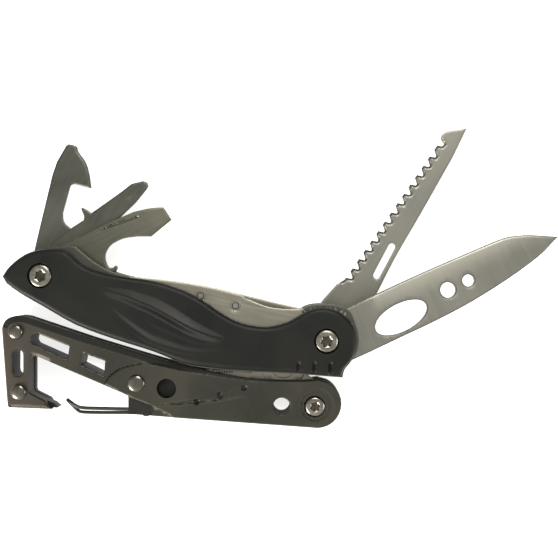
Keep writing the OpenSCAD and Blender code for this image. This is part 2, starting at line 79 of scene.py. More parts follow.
def addNode(tree, kind, values=None, **settings):
    node = tree.nodes.new(kind)
    for key, value in settings.items():
        setattr(node, key, value)
    for key, value in (values or {}).items():
        node.inputs[key].default_value = value
    return node


def joinUp(tree, *links):  # each link: a node, its output, another node, its input
    for fromNode, output, toNode, entry in links:
        tree.links.new(fromNode.outputs[output], toNode.inputs[entry])


def addLight(name, place, size, watts, color):
    lamp = bpy.data.lights.new(name, "AREA")
    lamp.shape = "DISK"
    lamp.size = size
    lamp.energy = watts
    lamp.color = color
    holder = bpy.data.objects.new(name, lamp)
    holder.location = place
    holder.rotation_euler = (-Vector(place)).to_track_quat("-Z", "Y").to_euler()
    bpy.context.scene.collection.objects.link(holder)


def setStudio(s):
    cameraData = bpy.data.cameras.new("camera")
    cameraData.lens = s["lens"]
    cameraData.sensor_width = 36
    cameraData.clip_start = 0.01
    camera = bpy.data.objects.new("camera", cameraData)
    sideways, upwards = s["cameraFrom"]
    camera.location = (bladePivot.x + sideways * mm, bladePivot.y + upwards * mm, s["cameraHeight"])
    bpy.context.scene.collection.objects.link(camera)
    bpy.context.scene.camera = camera
    bpy.context.scene.view_settings.view_transform = "Standard"

    world = bpy.data.worlds.new("studio")
    world.use_nodes = True
    sky = world.node_tree.nodes["Background"]
    sky.inputs["Color"].default_value = (*s["skyColor"], 1)
    direction = addNode(world.node_tree, "ShaderNodeTexCoord")
    lean = addNode(world.node_tree, "ShaderNodeVectorMath", {1: s["skyLean"]}, operation="DOT_PRODUCT")
    level = addNode(world.node_tree, "ShaderNodeMath", {1: s["skyBase"]}, operation="ADD", use_clamp=True)
    world.node_tree.links.new(direction.outputs["Generated"], lean.inputs[0])
    world.node_tree.links.new(lean.outputs["Value"], level.inputs[0])
    world.node_tree.links.new(level.outputs[0], sky.inputs["Strength"])
    bpy.context.scene.world = world

    for name, place, watts, color in s["lights"]:
        addLight(name, place, s["lightSize"], watts, s[color])

    half = s["floorWidth"] / 2
    floorMesh = bpy.data.meshes.new("floor")
    corners = [(-half, -half), (half, -half), (half, half), (-half, half)]
    floorMesh.from_pydata([(x, y, s["floorLevel"]) for x, y in corners], [], [(0, 1, 2, 3)])
    floor = bpy.data.objects.new("floor", floorMesh)
    bpy.context.scene.collection.objects.link(floor)
    paper = bpy.data.materials.new("palePaper")
    paper.use_nodes = True
    shader = paper.node_tree.nodes["Principled BSDF"]
    shader.inputs["Base Color"].default_value = (*s["floorColor"], 1)
    shader.inputs["Roughness"].default_value = 0.9
    shader.inputs["Emission Color"].default_value = (*s["floorColor"], 1)
    shader.inputs["Emission Strength"].default_value = s["floorGlow"]
    floor.data.materials.append(paper)


setStudio(studio)
print("studio ready")


# shader groups shared by the materials

def groupTree(name, inputs, outputs, kindOfTree="ShaderNodeTree"):
    tree = bpy.data.node_groups.new(name, kindOfTree)
    for label, kind, value in inputs:
        socket = tree.interface.new_socket(label, in_out="INPUT", socket_type=kind)
        if value is not None:
            socket.default_value = value
    for label, kind in outputs:
        tree.interface.new_socket(label, in_out="OUTPUT", socket_type=kind)
    return tree, tree.nodes.new("NodeGroupInput"), tree.nodes.new("NodeGroupOutput")


def buildBrushed():  # fine grinding lines that run along the vector's X
    tree, start, end = groupTree("brushedLines", [
        ("Vector", "NodeSocketVector", None), ("Lines", "NodeSocketFloat", 9000.0),
        ("Length", "NodeSocketFloat", 0.03)],
        [("Height", "NodeSocketFloat"), ("Mask", "NodeSocketFloat")])
    squeeze = addNode(tree, "ShaderNodeCombineXYZ", {"Y": 1.0, "Z": 1.0})
    scaled = addNode(tree, "ShaderNodeVectorMath", operation="MULTIPLY")
    fine = addNode(tree, "ShaderNodeTexNoise", {"Detail": 3.0, "Roughness": 0.6})
    coarse = addNode(tree, "ShaderNodeTexNoise", {"Detail": 1.0})
    quarter = addNode(tree, "ShaderNodeMath", {1: 0.22}, operation="MULTIPLY")
    both = addNode(tree, "ShaderNodeMath", operation="MULTIPLY_ADD")
    both.inputs[1].default_value = 0.4
    link = tree.links.new
    joinUp(tree, (start, "Length", squeeze, "X"), (start, "Vector", scaled, 0), (squeeze, 0, scaled, 1))
    for texture in (fine, coarse):
        link(scaled.outputs[0], texture.inputs["Vector"])
    joinUp(tree, (start, "Lines", fine, "Scale"), (start, "Lines", quarter, 0), (quarter, 0, coarse, "Scale"),
           (coarse, "Fac", both, 0), (fine, "Fac", both, 2), (both, 0, end, "Height"),
           (coarse, "Fac", end, "Mask"))
    return tree


def buildBlasted():  # the pitted grain of blasting, anodising or moulding
    tree, start, end = groupTree("blastedGrain", [
        ("Vector", "NodeSocketVector", None), ("Grain", "NodeSocketFloat", 7000.0)],
        [("Height", "NodeSocketFloat"), ("Mask", "NodeSocketFloat")])
    pits = addNode(tree, "ShaderNodeTexVoronoi", {"Randomness": 1.0})
    grain = addNode(tree, "ShaderNodeTexNoise", {"Detail": 4.0, "Roughness": 0.65})
    mixed = addNode(tree, "ShaderNodeMath", operation="MULTIPLY")
    link = tree.links.new
    for texture in (pits, grain):
        link(start.outputs["Vector"], texture.inputs["Vector"])
        link(start.outputs["Grain"], texture.inputs["Scale"])
    joinUp(tree, (pits, "Distance", mixed, 0), (grain, "Fac", mixed, 1), (mixed, 0, end, "Height"),
           (grain, "Fac", end, "Mask"))
    return tree


def buildSmudge():  # broad uneven patches left by hands and oil
    tree, start, end = groupTree("handMarks", [
        ("Vector", "NodeSocketVector", None), ("Patches", "NodeSocketFloat", 60.0)],
        [("Mask", "NodeSocketFloat")])
    cloud = addNode(tree, "ShaderNodeTexNoise", {"Detail": 5.0, "Roughness": 0.55, "Distortion": 0.6})
    spread = addNode(tree, "ShaderNodeMapRange", {"From Min": 0.35, "From Max": 0.68})
    joinUp(tree, (start, "Vector", cloud, "Vector"), (start, "Patches", cloud, "Scale"),
           (cloud, "Fac", spread, "Value"), (spread, 0, end, "Mask"))
    return tree


def buildWear():  # bright where an edge has been rubbed
    tree, start, end = groupTree("rubbedEdges", [
        ("Vector", "NodeSocketVector", None), ("Radius", "NodeSocketFloat", 0.0002),
        ("Amount", "NodeSocketFloat", 0.6)], [("Mask", "NodeSocketFloat")])
    rounded = addNode(tree, "ShaderNodeBevel", samples=4)
    face = addNode(tree, "ShaderNodeNewGeometry")
    alike = addNode(tree, "ShaderNodeVectorMath", operation="DOT_PRODUCT")
    edge = addNode(tree, "ShaderNodeMapRange", {"From Min": 0.985, "From Max": 0.8})
    patchy = addNode(tree, "ShaderNodeTexNoise", {"Scale": 1400.0, "Detail": 4.0, "Roughness": 0.7})
    broken = addNode(tree, "ShaderNodeMapRange", {"From Min": 0.38, "From Max": 0.6})
    both = addNode(tree, "ShaderNodeMath", operation="MULTIPLY")
    scaled = addNode(tree, "ShaderNodeMath", operation="MULTIPLY")
    joinUp(tree, (start, "Radius", rounded, "Radius"), (rounded, "Normal", alike, 0),
           (face, "Normal", alike, 1), (alike, "Value", edge, "Value"), (start, "Vector", patchy, "Vector"),
           (patchy, "Fac", broken, "Value"), (edge, 0, both, 0), (broken, 0, both, 1), (both, 0, scaled, 0),
           (start, "Amount", scaled, 1), (scaled, 0, end, "Mask"))
    return tree


groups = {"brushed": buildBrushed(), "blasted": buildBlasted(), "smudge": buildSmudge(), "wear": buildWear()}


def makeFinish(name, f):  # one material from a dictionary of its finish
    material = bpy.data.materials.new(name)
    material.use_nodes = True
    tree = material.node_tree
    link = tree.links.new
    shader = tree.nodes["Principled BSDF"]
    shader.inputs["Metallic"].default_value = f.get("metallic", 1.0)
    shader.inputs["Specular IOR Level"].default_value = f.get("specular", 0.5)
    coords = addNode(tree, "ShaderNodeTexCoord")
    turned = addNode(tree, "ShaderNodeMapping")
    turned.inputs["Rotation"].default_value = (0, 0, -math.radians(f.get("angle", 0)))
    link(coords.outputs["Object"], turned.inputs["Vector"])

    def place(kind, **values):
        node = addNode(tree, "ShaderNodeGroup", node_tree=groups[kind])
        link(turned.outputs[0], node.inputs["Vector"])
        for key, value in values.items():
            node.inputs[key].default_value = value
        return node

    grain = place("brushed", Lines=f["lines"], Length=f.get("lineLength", 0.03)) if "lines" in f else \
        place("blasted", Grain=f["grain"])
    marks = place("smudge", Patches=f.get("patches", 60.0))
    wear = place("wear", Radius=f.get("wearRadius", 0.0002), Amount=f.get("wear", 0.5))

    patchy = addNode(tree, "ShaderNodeMix", data_type="RGBA")
    patchy.inputs["A"].default_value = (*f["color"], 1)
    patchy.inputs["B"].default_value = (*f["patchColor"], 1)
    link(marks.outputs["Mask"], patchy.inputs["Factor"])
    lined = addNode(tree, "ShaderNodeMix", data_type="RGBA", blend_type="MULTIPLY")
    lined.inputs["Factor"].default_value = f.get("grainTint", 0.35)
    tint = addNode(tree, "ShaderNodeMapRange", {"From Min": 0.3, "From Max": 0.7, "To Min": 0.7, "To Max": 1.2})
    joinUp(tree, (grain, "Mask", tint, "Value"), (tint, 0, lined, "B"))
    painted = patchy
    if "paintedLitEnd" in f:  # painted light: the colour drifts along X to a lighter, browner tone at one end, as if lit there
        lightAtEnd = f["paintedLitEnd"]
        where = addNode(tree, "ShaderNodeSeparateXYZ")
        drift = addNode(tree, "ShaderNodeMapRange", {"From Min": lightAtEnd["from"], "From Max": lightAtEnd["to"]})
        ended = addNode(tree, "ShaderNodeMix", data_type="RGBA")
        ended.inputs["B"].default_value = (*lightAtEnd["color"], 1)
        link(coords.outputs["Object"], where.inputs[0])
        link(where.outputs["X"], drift.inputs["Value"])
        link(drift.outputs[0], ended.inputs["Factor"])
        link(patchy.outputs["Result"], ended.inputs["A"])
        painted = ended
    link(painted.outputs["Result"], lined.inputs["A"])
    rubbed = addNode(tree, "ShaderNodeMix", data_type="RGBA")
    rubbed.inputs["B"].default_value = (*f["wornColor"], 1)
    joinUp(tree, (wear, "Mask", rubbed, "Factor"), (lined, "Result", rubbed, "A"),
           (rubbed, "Result", shader, "Base Color"))

    rough = addNode(tree, "ShaderNodeMapRange", {"To Min": f["rough"][0], "To Max": f["rough"][1]})
    link(marks.outputs["Mask"], rough.inputs["Value"])
    uneven = addNode(tree, "ShaderNodeMath", operation="MULTIPLY_ADD")
    uneven.inputs[1].default_value = 0.12
    joinUp(tree, (grain, "Mask", uneven, 0), (rough, 0, uneven, 2), (uneven, 0, shader, "Roughness"))

    depth = f.get("bumpDepth", 0.00002)
    bump = addNode(tree, "ShaderNodeBump", {"Strength": f.get("bump", 0.25), "Distance": depth})
    joinUp(tree, (grain, "Height", bump, "Height"), (bump, "Normal", shader, "Normal"))
    return material


knifeAngle = 24.1
sawAngle = 56.1
finishes = {
    "blackScale": {
        "color": (0.0055, 0.0070, 0.0058), "patchColor": (0.012, 0.0115, 0.009), "metallic": 0.0,
        "wornColor": (0.06, 0.06, 0.05), "grain": 5200.0, "rough": (0.32, 0.42), "bump": 0.35,
        "bumpDepth": 0.00004, "wear": 0.3, "patches": 45.0, "specular": 0.28, "grainTint": 0.2},
    "anodised": {
        "color": (0.064, 0.065, 0.054), "patchColor": (0.084, 0.079, 0.064), "wornColor": (0.26, 0.245, 0.20),
        "grain": 6500.0, "rough": (0.38, 0.48), "bump": 0.25, "wear": 0.3, "patches": 50.0,
        # painted light: the left end of the lower handle is lighter and browner, as if lit
        "paintedLitEnd": {"color": (0.104, 0.091, 0.077), "from": -0.058, "to": -0.083}},
    # the real dark colour of the lower core and the gate pin, and also painted shade on the lower plates
    "darkFinishAndPaintedShade": {
        "color": (0.017, 0.0175, 0.0155), "patchColor": (0.026, 0.025, 0.021), "metallic": 0.0,
        "wornColor": (0.10, 0.095, 0.08), "grain": 6500.0, "rough": (0.42, 0.52), "specular": 0.22},
    "knifeSteel": {
        "color": (0.30, 0.292, 0.25), "patchColor": (0.345, 0.332, 0.285), "wornColor": (0.75, 0.74, 0.68),
        "lines": 8000.0, "angle": knifeAngle + 90, "rough": (0.30, 0.38), "bump": 0.1, "patches": 22.0,
        "grainTint": 0.12},
    "sawSteel": {
        "color": (0.275, 0.268, 0.232), "patchColor": (0.315, 0.305, 0.262), "wornColor": (0.7, 0.69, 0.62),
        "lines": 8000.0, "angle": sawAngle, "rough": (0.30, 0.40), "bump": 0.1, "patches": 24.0,
        "grainTint": 0.12},
    # darker ground steel: partly the real grind on the saw teeth, partly painted shade on the knife rim, blade
    # walls, jaw hatch and jaw pin groove
    "darkGrindAndPaintedShade": {
        "color": (0.10, 0.10, 0.09), "patchColor": (0.16, 0.155, 0.14), "wornColor": (0.5, 0.49, 0.44),
        "lines": 9000.0, "angle": sawAngle + 60, "rough": (0.35, 0.45)},
    "toolSteel": {
        "color": (0.115, 0.116, 0.098), "patchColor": (0.14, 0.138, 0.116), "wornColor": (0.5, 0.49, 0.44),
        "lines": 8500.0, "angle": 60, "rough": (0.33, 0.44), "bump": 0.18, "patches": 40.0, "grainTint": 0.2},
    "driverSteel": {
        "color": (0.155, 0.155, 0.122), "patchColor": (0.18, 0.172, 0.135), "wornColor": (0.55, 0.54, 0.47),
        "lines": 8500.0, "angle": 26, "rough": (0.33, 0.44), "bump": 0.18, "patches": 45.0, "grainTint": 0.2},
    "linerSteel": {
        "color": (0.33, 0.315, 0.255), "patchColor": (0.37, 0.345, 0.28), "wornColor": (0.5, 0.48, 0.42),
        "wear": 0.2, "lines": 9000.0, "angle": -12, "rough": (0.28, 0.38), "bump": 0.15, "patches": 35.0},
    "jawSteel": {
        "color": (0.50, 0.46, 0.39), "patchColor": (0.57, 0.53, 0.45), "wornColor": (0.8, 0.77, 0.7),
        "grain": 8000.0, "rough": (0.40, 0.5), "bump": 0.3, "patches": 60.0},
    "brightSteel": {
        "color": (0.62, 0.61, 0.56), "patchColor": (0.72, 0.71, 0.66), "wornColor": (0.9, 0.89, 0.84),
        "lines": 12000.0, "rough": (0.14, 0.24), "bump": 0.2, "patches": 300.0},
    # painted shade on the liners' lower edge, ends and walls, and in the flush rivets' ring grooves
    "linerPaintedShade": {
        "color": (0.10, 0.098, 0.083), "patchColor": (0.13, 0.127, 0.107), "wornColor": (0.2, 0.19, 0.16),
        "wear": 0.2, "lines": 9000.0, "angle": -12, "rough": (0.32, 0.42)},
    "screwSteel": {
        "color": (0.25, 0.23, 0.19), "patchColor": (0.37, 0.345, 0.30), "wornColor": (0.75, 0.73, 0.67),
        "lines": 12000.0, "rough": (0.16, 0.27), "bump": 0.2, "patches": 400.0},
    "rivetSteel": {
        "color": (0.15, 0.14, 0.117), "patchColor": (0.23, 0.213, 0.183), "wornColor": (0.6, 0.58, 0.5),
        "grain": 9000.0, "rough": (0.13, 0.22), "bump": 0.1, "patches": 300.0},
    # painted shade inside the screw sockets
    "socketPaintedShade": {
        "color": (0.07, 0.064, 0.053), "patchColor": (0.13, 0.11, 0.085), "wornColor": (0.4, 0.38, 0.33),
        "grain": 9000.0, "rough": (0.35, 0.5)},
    "blackWire": {
        "color": (0.022, 0.022, 0.02), "patchColor": (0.035, 0.034, 0.03), "metallic": 0.0, "wornColor": (0.3,
        0.29, 0.26), "grain": 8000.0, "rough": (0.25, 0.35), "wear": 0.5},
}
materials = {name: makeFinish(name, finish) for name, finish in finishes.items()}
print("materials ready:", len(materials))


# mesh helpers

def newPiece(name, mesh, body, replaced, slotName, *materialNames):
    piece = bpy.data.objects.new(name, mesh)
    bpy.context.scene.collection.objects.link(piece)
    for materialName in materialNames:
        mesh.materials.append(materials[materialName])
    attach(piece, body)
    if replaced:
        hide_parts(*replaced)
    return piece


def shadeByAngle(mesh, degrees):
    mesh.shade_smooth()
    mesh.set_sharp_from_angle(angle=math.radians(degrees))


def mergedCopy(nodeName):
    soft = bmesh.new()
    soft.from_mesh(frame["nodes"][nodeName].data)
    bmesh.ops.remove_doubles(soft, verts=soft.verts, dist=1e-6)
    return soft


def chained(edges):  # closed outlines, longest first, in mm from the blade pivot
    following = {}
    for edge in edges:
        for a, b in (edge.verts, reversed(edge.verts)):
            following.setdefault(a, []).append(b)
    loops = []
    while following:
        first = next(iter(following))
        loop, here, before = [first], first, None
        while True:
            ahead = next((v for v in following[here] if v != before), None)
            if ahead is None or ahead == first:
                break
            loop.append(ahead)
            before, here = here, ahead
        for v in loop:
            following.pop(v, None)
        loops.append([((v.co.x - bladePivot.x) / mm, (v.co.y - bladePivot.y) / mm) for v in loop])
    loops.sort(key=lambda loop: -abs(loopArea(loop)))
    return [straightened(loop) for loop in loops]


def faceLoops(nodeName, level):  # outlines of the flat face at that height
    soft = mergedCopy(nodeName)
    flat = {f for f in soft.faces if abs(f.normal.z) > 0.999 and abs(f.calc_center_median().z - level) < 2e-5}
    loops = chained([e for e in soft.edges if sum(f in flat for f in e.link_faces) == 1])
    soft.free()
    return loops


def sliceLoops(nodeName, level):  # outlines of the cut through the node at that height
    soft = mergedCopy(nodeName)
    everything = soft.verts[:] + soft.edges[:] + soft.faces[:]
    cut = bmesh.ops.bisect_plane(soft, geom=everything, plane_co=(0, 0, level), plane_no=(0, 0, 1))
    loops = chained([g for g in cut["geom_cut"] if isinstance(g, bmesh.types.BMEdge)])
    soft.free()
    return loops


def loopArea(loop):
    return sum(a[0] * b[1] - b[0] * a[1] for a, b in zip(loop, loop[1:] + loop[:1])) / 2


def straightened(loop):  # without the points that lie on a straight line
    kept = []
    for i, p in enumerate(loop):
        a, b = loop[i - 1], loop[(i + 1) % len(loop)]
        if abs((p[0] - a[0]) * (b[1] - a[1]) - (p[1] - a[1]) * (b[0] - a[0])) > 1e-5:
            kept.append(p)
    return kept


def spaced(loop, step, closed=True):  # points no further apart than step
    points = []
    ends = loop[1:] + loop[:1] if closed else loop[1:]
    for a, b in zip(loop, ends):
        count = max(1, math.ceil(math.dist(a, b) / step))
        points += [(a[0] + (b[0] - a[0]) * i / count, a[1] + (b[1] - a[1]) * i / count) for i in range(count)]
    return points if closed else points + [loop[-1]]


def smoothLine(points, count=6):  # a curve through the points
    out = []
    last = len(points) - 1
    for i in range(last):
        a, b, c, d = (np.array(points[min(max(k, 0), last)], float) for k in (i - 1, i, i + 1, i + 2))
        for j in range(count):
            t = j / count
            out.append(tuple(0.5 * (2 * b + (c - a) * t + (2 * a - 5 * b + 4 * c - d) * t * t
                                    + (3 * b - a - 3 * c + d) * t ** 3)))
    return out + [tuple(points[last])]


def lineDistance(points, line, closed):
    # distance, how far along from 0 to 1, side, and the direction that the nearest segment faces
    ends = line[1:] + line[:1] if closed else line[1:]
    best = np.full(len(points), 1e9)
    along = np.zeros(len(points))
    side = np.zeros(len(points))
    turn = np.zeros((len(points), 2))
    lengths = [math.dist(a, b) for a, b in zip(line, ends)]
    total, done = sum(lengths), 0.0
    for a, b, length in zip(line, ends, lengths):
        ax, ay = a
        dx, dy = (b[0] - ax) / length, (b[1] - ay) / length
        px, py = points[:, 0] - ax, points[:, 1] - ay
        t = np.clip(px * dx + py * dy, 0, length)
        off = np.hypot(px - t * dx, py - t * dy)
        near = off < best
        best = np.where(near, off, best)
        along = np.where(near, (done + t) / total, along)
        side = np.where(near, np.sign(dx * py - dy * px), side)
        turn[near] = (dy, -dx)
        done += length
    return best, along, side, turn


def isInside(points, loop):
    inside = np.zeros(len(points), bool)
    x, y = points[:, 0], points[:, 1]
    for (ax, ay), (bx, by) in zip(loop, loop[1:] + loop[:1]):
        if ay == by:
            continue
        crosses = (ay > y) != (by > y)
        inside ^= crosses & (x < (bx - ax) * (y - ay) / (by - ay) + ax)
    return inside


def ramp(value, low, high):
    t = np.clip((value - low) / (high - low), 0, 1)
    return t * t * (3 - 2 * t)


def ringPoints(center, radius, step=0.3):
    count = max(16, int(2 * math.pi * radius / step))
    return [(center[0] + radius * math.cos(2 * math.pi * i / count),
             center[1] + radius * math.sin(2 * math.pi * i / count)) for i in range(count)]


def reliefPlate(name, loops, heightAt, baseLevel, step, rimSteps, featurePoints, front, facetAt=None,
                wallNumber=0):
    # a plate whose face follows heightAt; where front is None its back mirrors its face about the base level
    twoSided = front is None
    outline, holes = loops[0], loops[1:]
    borders = [spaced(loop, step) for loop in loops]
    corners, edges = [], []
    for border in borders:
        first = len(corners)
        corners += border
        edges += [(first + i, first + (i + 1) % len(border)) for i in range(len(border))]
    extra = list(featurePoints)
    for border, loop in zip(borders, loops):
        inward = 1 if (loopArea(loop) > 0) == (loop is outline) else -1
        for i, p in enumerate(border):
            a, b = border[i - 1], border[(i + 1) % len(border)]
            size = math.dist(a, b)
            nx, ny = -(b[1] - a[1]) / size * inward, (b[0] - a[0]) / size * inward
            for offset in (rimSteps if loop is outline else rimSteps[:1]):
                extra.append((p[0] + nx * offset, p[1] + ny * offset))
    lowX, highX = min(p[0] for p in outline), max(p[0] for p in outline)
    lowY, highY = min(p[1] for p in outline), max(p[1] for p in outline)
    extra = np.array(extra)
    toEdge = np.min([lineDistance(extra, border, True)[0] for border in borders], axis=0)
    extra = extra[toEdge > rimSteps[0] * 0.6]
    rows = int((highY - lowY) / (step * 0.87)) + 2
    columns = int((highX - lowX) / step) + 2
    grid = np.array([(lowX + (i + 0.5 * (j % 2)) * step, lowY + j * step * 0.87)
                     for j in range(rows) for i in range(columns)])
    inside = isInside(grid, outline)
    grid = grid[inside]
    toEdge = np.min([lineDistance(grid, border, True)[0] for border in borders], axis=0)
    grid = grid[toEdge > step * 0.6]
    taken = {}
    for x, y in extra:  # keep the points apart: extra ones first, then the grid
        taken.setdefault((round(x / (step * 0.5)), round(y / (step * 0.5))), []).append((x, y))
    kept = []
    for x, y in grid:
        cx, cy = round(x / (step * 0.5)), round(y / (step * 0.5))
        near = any(math.dist((x, y), q) < step * 0.55 for i in (-1, 0, 1) for j in (-1, 0, 1)
                   for q in taken.get((cx + i, cy + j), ()))
        if not near:
            kept.append((x, y))
    points = [Vector(p) for p in corners] + [Vector(p) for p in extra.tolist()] + [Vector(p) for p in kept]
    flat, _, triangles, _, _, _ = geometry.delaunay_2d_cdt(points, edges, [], 0, 1e-5)
    spots = np.array([tuple(v) for v in flat])
    triangles = np.array(triangles)
    middles = spots[triangles].mean(axis=1)
    keep = isInside(middles, outline)
    for hole in holes:
        keep &= ~isInside(middles, hole)
    triangles = triangles[keep]
    used, triangles = np.unique(triangles, return_inverse=True)
    triangles = triangles.reshape(-1, 3)
    spots = spots[used]
    heights = heightAt(spots)
    count = len(spots)
    flip = 1 if front or twoSided else -1
    top = [(bladePivot.x + x * mm, bladePivot.y + y * mm, z * mm) for (x, y), z in zip(spots, heights)]
    base = [(x, y, 2 * baseLevel * mm - z if twoSided else baseLevel * mm) for x, y, z in top]
    faces = [tuple(t[::flip]) for t in triangles.tolist()]
    faces += [tuple(count + i for i in t[::-flip]) for t in triangles.tolist()]
    seen = {}
    for a, b, c in triangles.tolist():
        for i, j in ((a, b), (b, c), (c, a)):
            seen[(i, j)] = True
    for i, j in list(seen):
        if (j, i) not in seen:
            quad = (j, i, count + i, count + j)
            faces.append(quad[::flip])
    mesh = bpy.data.meshes.new(name)
    mesh.from_pydata(top + base, [], faces)
    if facetAt:
        marked = facetAt(spots[triangles].mean(axis=1)).astype(int).tolist()
        walls = len(mesh.polygons) - 2 * len(marked)
        back = marked if twoSided else [0] * len(marked)
        for face, number in zip(mesh.polygons, marked + back + [wallNumber] * walls):
            face.material_index = number
    mesh.validate()
    shadeByAngle(mesh, 38)
    return mesh


# scales

scaleLook = {
    "step": 0.42, "rimSteps": (0.2, 0.45, 0.8, 1.2), "rim": 1.5, "rimDrop": 1.05, "crown": 0.35,
    "crownWidth": 8.0,
    "seat": 3.6, "seatDepth": 1.8,
    "leaves": [  # upper edge of each carved leaf, width, depth and how far the back slope runs
        {"line": [(-66.5, 16.2), (-59.7, 15.6), (-54.9, 14.3), (-51, 13.0), (-46.8, 10.9), (-42.3, 8.1),
                  (-38.1, 5.5), (-30, 1.2)], "width": 3.0, "depth": 1.05, "back": 2.4},
        {"line": [(-64, 10.2), (-59.7, 7.0), (-52.5, 2.2), (-47.7, 0.4), (-42.9, -1.1), (-38.4, -2.0),
                  (-32, -2.4)],
         "width": 1.7, "depth": 0.38, "back": 1.8},
        {"line": [(-54, 6.2), (-49, 4.0), (-44, 2.0), (-39, 0.2), (-32, -1.0)], "width": 1.3, "depth": 0.18,
         "back": 1.2},
        {"line": [(-52, -2.0), (-47.7, -3.8), (-42, -5.2), (-37.2, -6.2), (-31, -6.9)],
         "width": 1.3, "depth": 0.28, "back": 1.1},
    ],
    "gripX": [-8.5, -3.75, 1.05], "gripY": (-10.6, -5.9), "gripWidth": 0.72, "gripDepth": 0.7,
}


def makeScale(nodeName, front):
    s = scaleLook
    low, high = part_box(nodeName)
    low, high = low.z / mm, high.z / mm
    inner, outer = (low, high) if front else (high, low)
    out = 1 if front else -1
    loops = faceLoops(nodeName, inner * mm)
    outline = loops[0]
    leaves = [dict(leaf, line=smoothLine([(x * span, y) for x, y in leaf["line"]])) for leaf in s["leaves"]]
    seats = [(0.0, 0.0), ((toolPivot.x - bladePivot.x) / mm, (toolPivot.y - bladePivot.y) / mm)]
    features = []
    for leaf in leaves:
        for shift in (-0.12, 0.12):
            features += [(x, y + shift) for x, y in spaced(leaf["line"], 0.3, closed=False)]
    for seat in seats:
        for radius in (s["seat"], s["seat"] + 0.04, s["seat"] + 0.22):
            features += ringPoints(seat, radius)
    for x in s["gripX"]:
        for offset in (-1, -0.5, 0, 0.5, 1):
            line = [(x + offset * s["gripWidth"], s["gripY"][0]),
                    (x + offset * s["gripWidth"], s["gripY"][1] + 0.3)]
            features += spaced(line, 0.3, closed=False)
    features = [p for p, keep in zip(features, isInside(np.array(features), outline)) if keep]

    def heightAt(spots):
        toEdge, _, _, _ = lineDistance(spots, outline, True)
        down = s["crown"] * (1 - ramp(toEdge, 0, s["crownWidth"]))
        roll = np.clip(1 - toEdge / s["rim"], 0, 1)
        down += s["rimDrop"] * (1 - np.sqrt(1 - roll * roll * 0.999))
        for leaf in leaves:
            away, along, side, _ = lineDistance(spots, leaf["line"], False)
            taper = np.sin(np.pi * np.clip(along, 0, 1)) ** 0.55
            ends = (along <= 0.001) | (along >= 0.999)
            width = leaf["width"] * taper + 0.05
            below = np.where(side < 0, away, 0)
            slope = np.clip(below / width, 0, 1) - ramp(below, width, width + leaf["back"] + 0.05)
            down += np.where(ends | (side > 0), 0, leaf["depth"] * taper * slope)
        for x in s["gripX"]:
            across = np.clip(1 - np.abs(spots[:, 0] - x) / s["gripWidth"], 0, 1)
            upTo = 1 - ramp(spots[:, 1], s["gripY"][1] - 1.2, s["gripY"][1] + 0.3)
            down += s["gripDepth"] * across * upTo
        for cx, cy in seats:
            radius = np.hypot(spots[:, 0] - cx, spots[:, 1] - cy)
            down += 0.2 * (1 - ramp(radius, s["seat"], s["seat"] + 0.22))
            down = np.where(radius < s["seat"] + 0.02, s["seatDepth"], down)
        down = np.minimum(down, abs(outer - inner) - 0.3)
        return outer - out * down

    mesh = reliefPlate(nodeName + "_sculpted", loops, heightAt, inner, s["step"], s["rimSteps"], features,
                       front)
    newPiece(nodeName + "_sculpted", mesh, "upper_handle", [nodeName], "scale", "blackScale")


makeScale("scale_front", True)
makeScale("scale_rear", False)
print("scales ready")


# lower handle plates

lowLook = {
    "step": 0.42, "rimSteps": (0.18, 0.36, 0.9, 1.9), "hookDrop": 0.5, "bandWidth": 1.9, "bandDrop": 1.1,
    "bandEnd": -18,
    "bandTaper": (-50, -26), "narrowing": 0.65, "facingUp": 0.25, "bevel": 0.35, "middle": (-12, -0.21, 38),
    "panel": [(-66.2, -12.9), (-64.7, -10.7), (-61.7, -8.7), (-57.8, -7.6), (-53.9, -7.2), (-48.3, -7.8),
              (-44.3, -8.8), (-38, -10.4), (-30, -12)],
    "panelLow": [(-30, -26), (-44, -25), (-47, -22.0), (-52.2, -19.5), (-53.9, -18.7), (-57.8, -17.2),
                 (-59.6, -16.3)],
    "fade": (-47, -35), "lowFade": (-50, -38),
    "creaseUpper": [(-51, -19.75), (-49, -18.9), (-39.8, -17.6), (-33, -15.6), (-24.9, -13.1)],
    "creaseLower": [(-18.9, -15.2), (-28.9, -17.6), (-43, -19.3)],
    "creaseDepth": 0.45,
    "dimples": [(-39, -18.5), (-32, -16.6), (-24.8, -14.2)], "dimple": 0.9, "dimpleDepth": 0.55,
    "dimpleSlope": 1.6, "lipWidth": 0.9, "lipDrop": 0.5, "facingDown": -0.9, "lipEnd": -83, "holeSoft": 0.22,
    "panelWall": 0.4, "creaseWall": 0.35, "wedgeFade": (-34, -20), "seatSoft": 0.22, "seatDrop": 0.2,
    "ringSoft": 0.3,
    "recess": (-48, -14.3), "recessRadius": 2.75, "recessDepth": 2.8,
    "seat": 3.1, "seatDepth": 1.6, "ring": 4.3, "ringDepth": 0.4, "outerRing": 5.5,
    "stepCorner": [(-61, -16.6), (-52.6, -19.6), (-52.6, -24.5), (-61, -24.5)], "stepDepth": 1.2,
    "stepWall": 0.12,
}


